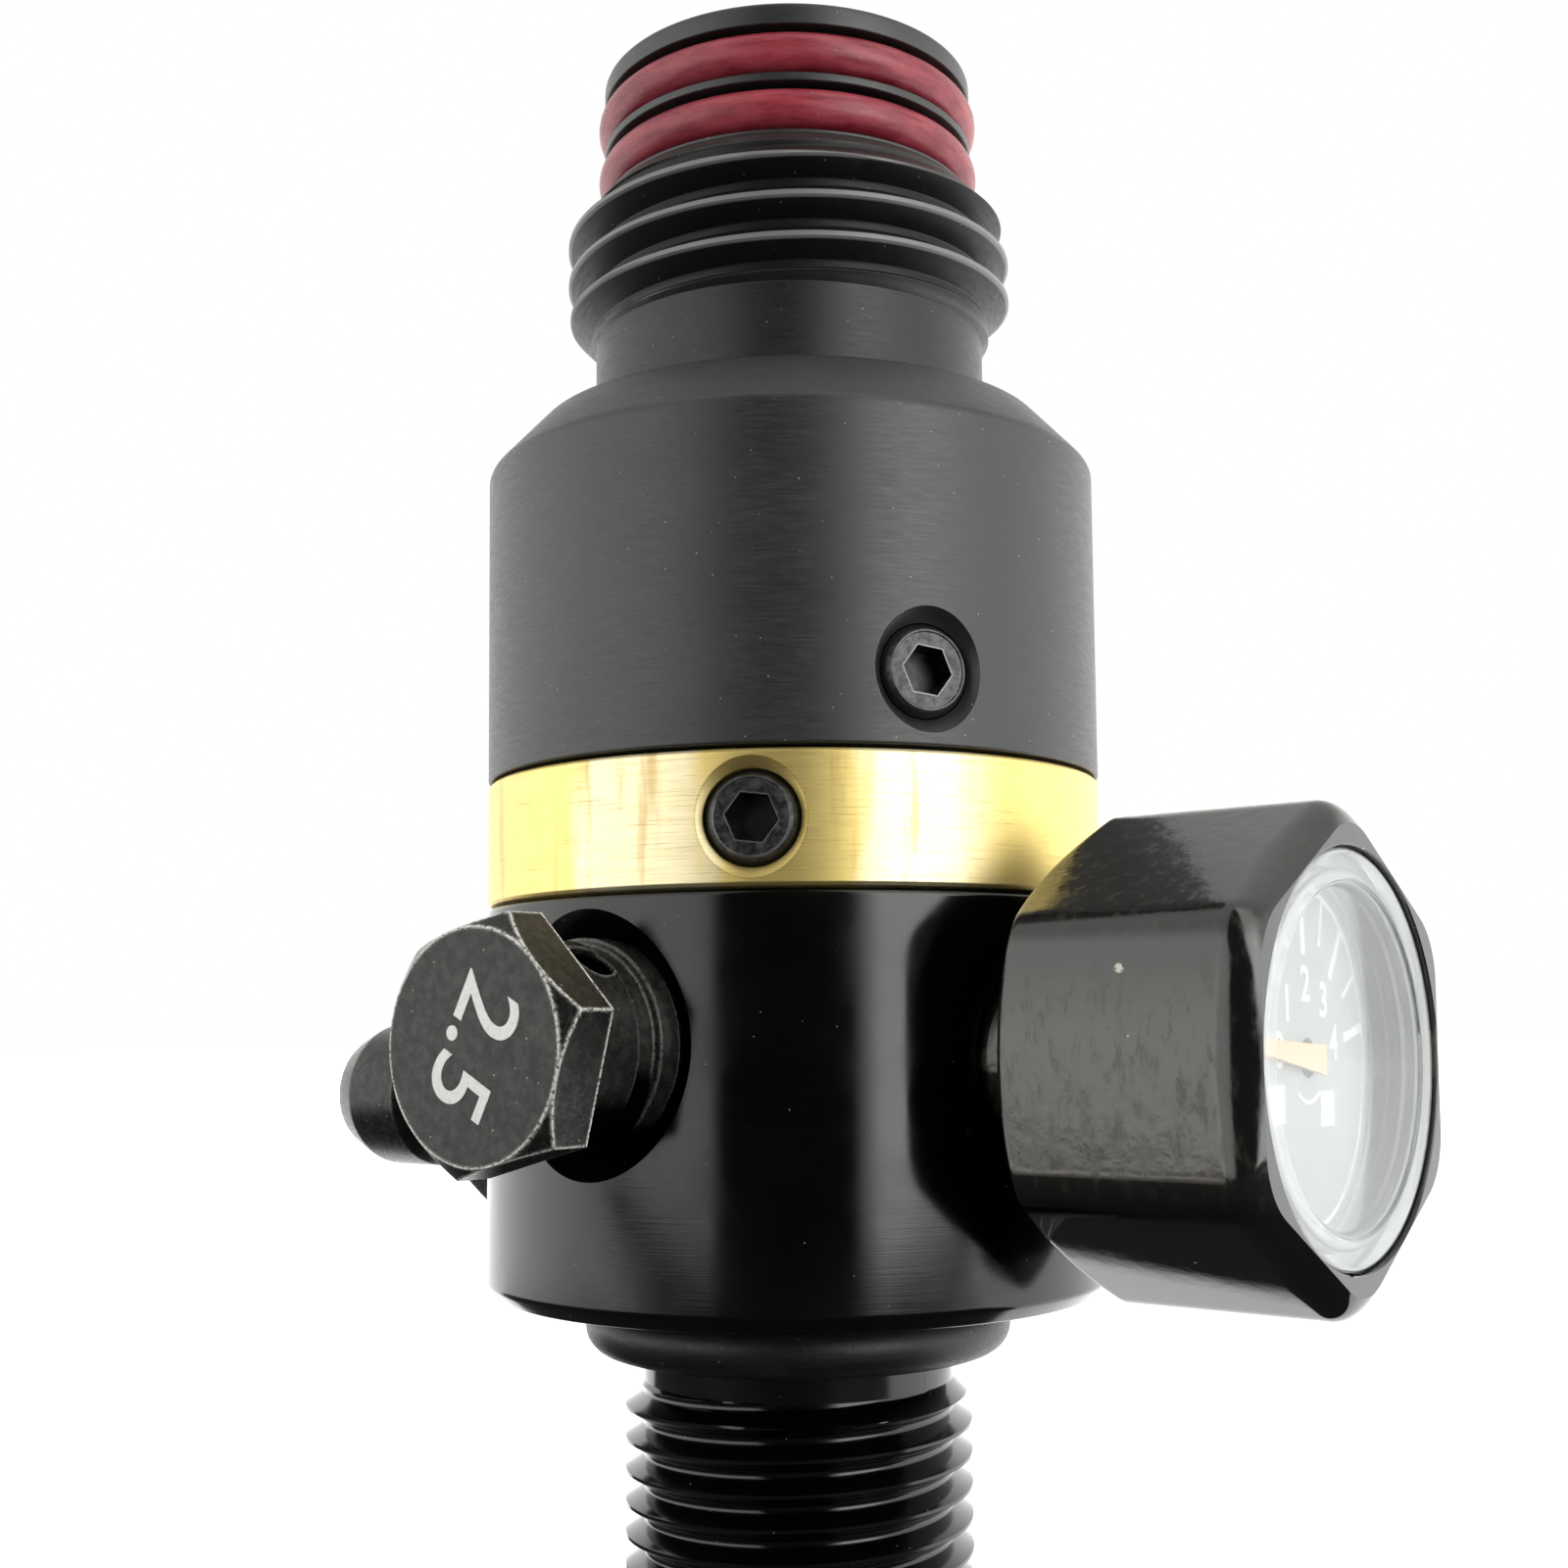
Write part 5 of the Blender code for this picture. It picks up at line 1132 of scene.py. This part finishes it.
def make_burst_plug(side, port):
    rows = [ring(0, PLUG_FRONT)]
    rows += hex_head(*PLUG_HEXAGON, PLUG_FRONT, PLUG_HEAD_BACK)
    shank = [
        (PLUG_COLLAR_RADIUS, PLUG_HEAD_BACK), (PLUG_COLLAR_RADIUS, PLUG_COLLAR_END, 0.06),
        (PLUG_NECK_RADIUS, PLUG_COLLAR_END - 0.15, 0.08), (PLUG_NECK_RADIUS, PLUG_FLANGE_FRONT, 0.08),
        (PLUG_FLANGE_RADIUS, PLUG_FLANGE_FRONT, 0.12), (PLUG_FLANGE_RADIUS, PLUG_FLANGE_BACK, 0.12),
        (PLUG_THREAD_RADIUS, PLUG_FLANGE_BACK), (PLUG_THREAD_RADIUS, PLUG_END, 0.3),
        (PLUG_BORE_RADIUS, PLUG_END), (PLUG_BORE_RADIUS, PLUG_BORE_END),
        (0, PLUG_BORE_END),
    ]
    plug = welded(f"{side}_plug_piece", [rows + rings(shank)], port @ spun(PLUG_TURN))
    aim = port @ lifted(VENT_DISTANCE) @ spun(VENT_ANGLE) @ Matrix.Rotation(math.pi / 2, 4, "Y")
    reach = 2 * PLUG_COLLAR_RADIUS
    cut(plug, turned("vent", bar(VENT_RADIUS, reach, -reach), aim, VENT_COLUMNS))
    dress(plug, "plug_bronze", f"{side}_plug")


def make_plug_number():
    """Plain figures in white paint across the face of the front plug."""
    face = LOW_BURST_PORT @ lifted(PLUG_FRONT + 0.005) @ spun(PLUG_NUMBER_TURN)
    numeral = solid_text("plug_number", "2.5", PLUG_NUMBER_SIZE, 0.05, 0.004, face)
    dress(numeral, "plug_bronze", material=WHITE_INK)


def make_fill_nipple():
    matrix = NIPPLE_PORT @ spun(NIPPLE_TURN)
    slope = NIPPLE_RADIUS - NIPPLE_NECK_RADIUS
    barrel = [
        (NIPPLE_RECESS_RADIUS, NIPPLE_RECESS_FLOOR), (NIPPLE_RECESS_RADIUS, NIPPLE_TIP, 0.15),
        (NIPPLE_TIP_RADIUS, NIPPLE_TIP, 0.3),
        (NIPPLE_RADIUS, NIPPLE_TIP - NIPPLE_TIP_CHAMFER, 0.15), (NIPPLE_RADIUS, NIPPLE_GROOVE_TOP, 0.1),
        (NIPPLE_NECK_RADIUS, NIPPLE_GROOVE_TOP - slope, 0.2),
        (NIPPLE_NECK_RADIUS, NIPPLE_GROOVE_BOTTOM + slope, 0.2),
        (NIPPLE_RADIUS, NIPPLE_GROOVE_BOTTOM, 0.1), (NIPPLE_RADIUS, NIPPLE_HEX_FRONT, 0.2),
        (NIPPLE_HEXAGON[1], NIPPLE_HEX_FRONT),
    ]
    head = hex_head(*NIPPLE_HEXAGON, NIPPLE_HEX_FRONT, NIPPLE_HEX_BACK)
    inside = [
        (NIPPLE_THREAD_RADIUS, NIPPLE_HEX_BACK), (NIPPLE_THREAD_RADIUS, PORT_FLOOR + GAP, 0.3),
        (NIPPLE_CHAMBER_RADIUS, PORT_FLOOR + GAP), (NIPPLE_CHAMBER_RADIUS, NIPPLE_CHAMBER_TOP),
        (NIPPLE_HOLE_RADIUS, NIPPLE_CHAMBER_TOP), (NIPPLE_HOLE_RADIUS, NIPPLE_RECESS_FLOOR),
        (NIPPLE_RECESS_RADIUS, NIPPLE_RECESS_FLOOR),
    ]
    nipple = welded("nipple", [rings(barrel) + head + rings(inside)], matrix)
    dress(nipple, "plug_bronze", "fill_nipple")
    high = NIPPLE_TIP - GAP
    low = NIPPLE_RECESS_FLOOR + GAP
    outline = [(0, high), (STRAINER_RADIUS, high, 0.15), (STRAINER_RADIUS, low), (0, low)]
    strainer = turned("nipple_strainer", outline, matrix, FEW_COLUMNS)
    dress(strainer, "sintered", "nipple_filter")


def dress_hidden_nodes():
    """Gives the CAD nodes that stay the material of their slot in the record."""
    for part in frame["record"]["subparts"]:
        node = frame["nodes"][part["node"]]
        node.data.materials.clear()
        node.data.materials.append(FINISHES[part["material_slot"]])


# Stage


def make_floor():
    """A large table top under the object, pale to the camera. To the object it shows painted shade and light:
    dark near the object and in front of it, a painted shadow, and pale and glowing behind it and far beside
    it, a painted light.
    """
    low = BODY_BOTTOM * MM
    left, front, right, back = -1.5, -0.16, 1.5, 4.0
    mesh = bpy.data.meshes.new("floor")
    corners = [(left, front, low), (right, front, low), (right, back, low), (left, back, low)]
    mesh.from_pydata(corners, [], [(0, 1, 2, 3)])
    floor = linked("floor", mesh)
    look = Look("pale_table", 0.9, 0.0, 0.8)
    pale = look.blend(look.noise(0.02, 2.0), 0.92, 0.95)
    seen = look.node("ShaderNodeLightPath").outputs["Is Camera Ray"]
    spot = look.spot()
    # Painted shadow and painted light for the object: the floor is dark near the object and in front of it,
    # and lit behind it and far beside it.
    behind = look.reach(look.dot(spot, (0.53, 0.85, 0.0)), 11.5, 13.0)
    far = look.reach(look.off_axis(), 110.0, 160.0)
    beside = look.times(far, look.reach(look.axes(spot)[1], -110.0, -80.0))
    painted_lit_floor = look.math("MAXIMUM", behind, beside)
    look.color(look.blend(seen, look.blend(painted_lit_floor, 0.02, 0.75), pale))
    # The floor glows though it is no lamp, a painted light: faintly to the camera, and brightly to the object
    # where it is painted lit.
    look.set("Emission Color", 1.0)
    painted_glow = {0: seen, 2: look.times(painted_lit_floor, 1.1), 3: 0.35}
    look.set("Emission Strength", look.node("ShaderNodeMix", painted_glow).outputs[0])
    mesh.materials.append(look.material)


def make_world():
    """A bright white tent that the camera sees as plain white, with its dim opening in front."""
    world = bpy.data.worlds.new("studio")
    world.use_nodes = True
    world.node_tree.nodes.clear()
    bpy.context.scene.world = world
    sky = Nodes(world.node_tree)
    direction = sky.node("ShaderNodeTexCoord").outputs["Generated"]
    bearing = sky.bearing(direction)
    _, y, z = sky.axes(direction)
    level = 1.55
    for more, limits in TENT_PANELS:
        level = sky.math("MULTIPLY_ADD", sky.band(bearing, *limits), more, level)
    level = sky.math("MULTIPLY_ADD", sky.reach(bearing, 60, 80), 0.25, level)
    below = sky.times(sky.reach(z, -0.15, -0.45), sky.reach(y, 0.1, -0.2))
    dim = sky.math("MAXIMUM", sky.band(bearing, -32, -26, 20, 25), below)
    overhead = sky.math("MULTIPLY_ADD", sky.reach(z, 0.3, 0.75), -0.5, 1.0)
    lit = sky.times(sky.times(level, overhead), sky.inverse(dim))
    strength = sky.math("ADD", lit, 0.025)
    tent = sky.node("ShaderNodeBackground", {0: (0.985, 1.0, 0.965), 1: strength}).outputs[0]
    white = sky.node("ShaderNodeBackground", {0: 1.0}).outputs[0]
    seen = sky.node("ShaderNodeLightPath").outputs["Is Camera Ray"]
    mixed = sky.node("ShaderNodeMixShader", {0: seen, 1: tent, 2: white}).outputs[0]
    sky.node("ShaderNodeOutputWorld", {0: mixed})


def make_camera():
    """The photograph's view: a little above the tank seat, close to the object and tilted up."""
    camera = bpy.data.cameras.new("camera")
    camera.lens = 43.69
    camera.sensor_width = 36.0
    camera.shift_y = 0.0576
    camera.clip_start = 0.005
    pan, tilt, roll = -0.0052, 0.0808, -0.0089
    stand = Matrix.Translation(Vector((0, -88.85, 11.9)) * MM)
    aim = Matrix.Rotation(-pan, 4, "Z") @ Matrix.Rotation(math.pi / 2 + tilt, 4, "X")
    obj = linked("camera", camera)
    obj.matrix_world = stand @ aim @ Matrix.Rotation(roll, 4, "Z")
    bpy.context.scene.camera = obj


dress_hidden_nodes()
make_valve_body()
make_tank_end()
make_lock_ring()
make_bonnet()
make_pin_valve()
make_gauge_case()
make_gauge_stem()
make_lens()
make_dial()
make_pointer()
make_burst_plug("low_burst", LOW_BURST_PORT)
make_burst_plug("high_burst", HIGH_BURST_PORT)
make_plug_number()
make_fill_nipple()
make_floor()
make_world()
make_camera()
bpy.context.scene.view_settings.view_transform = "Standard"
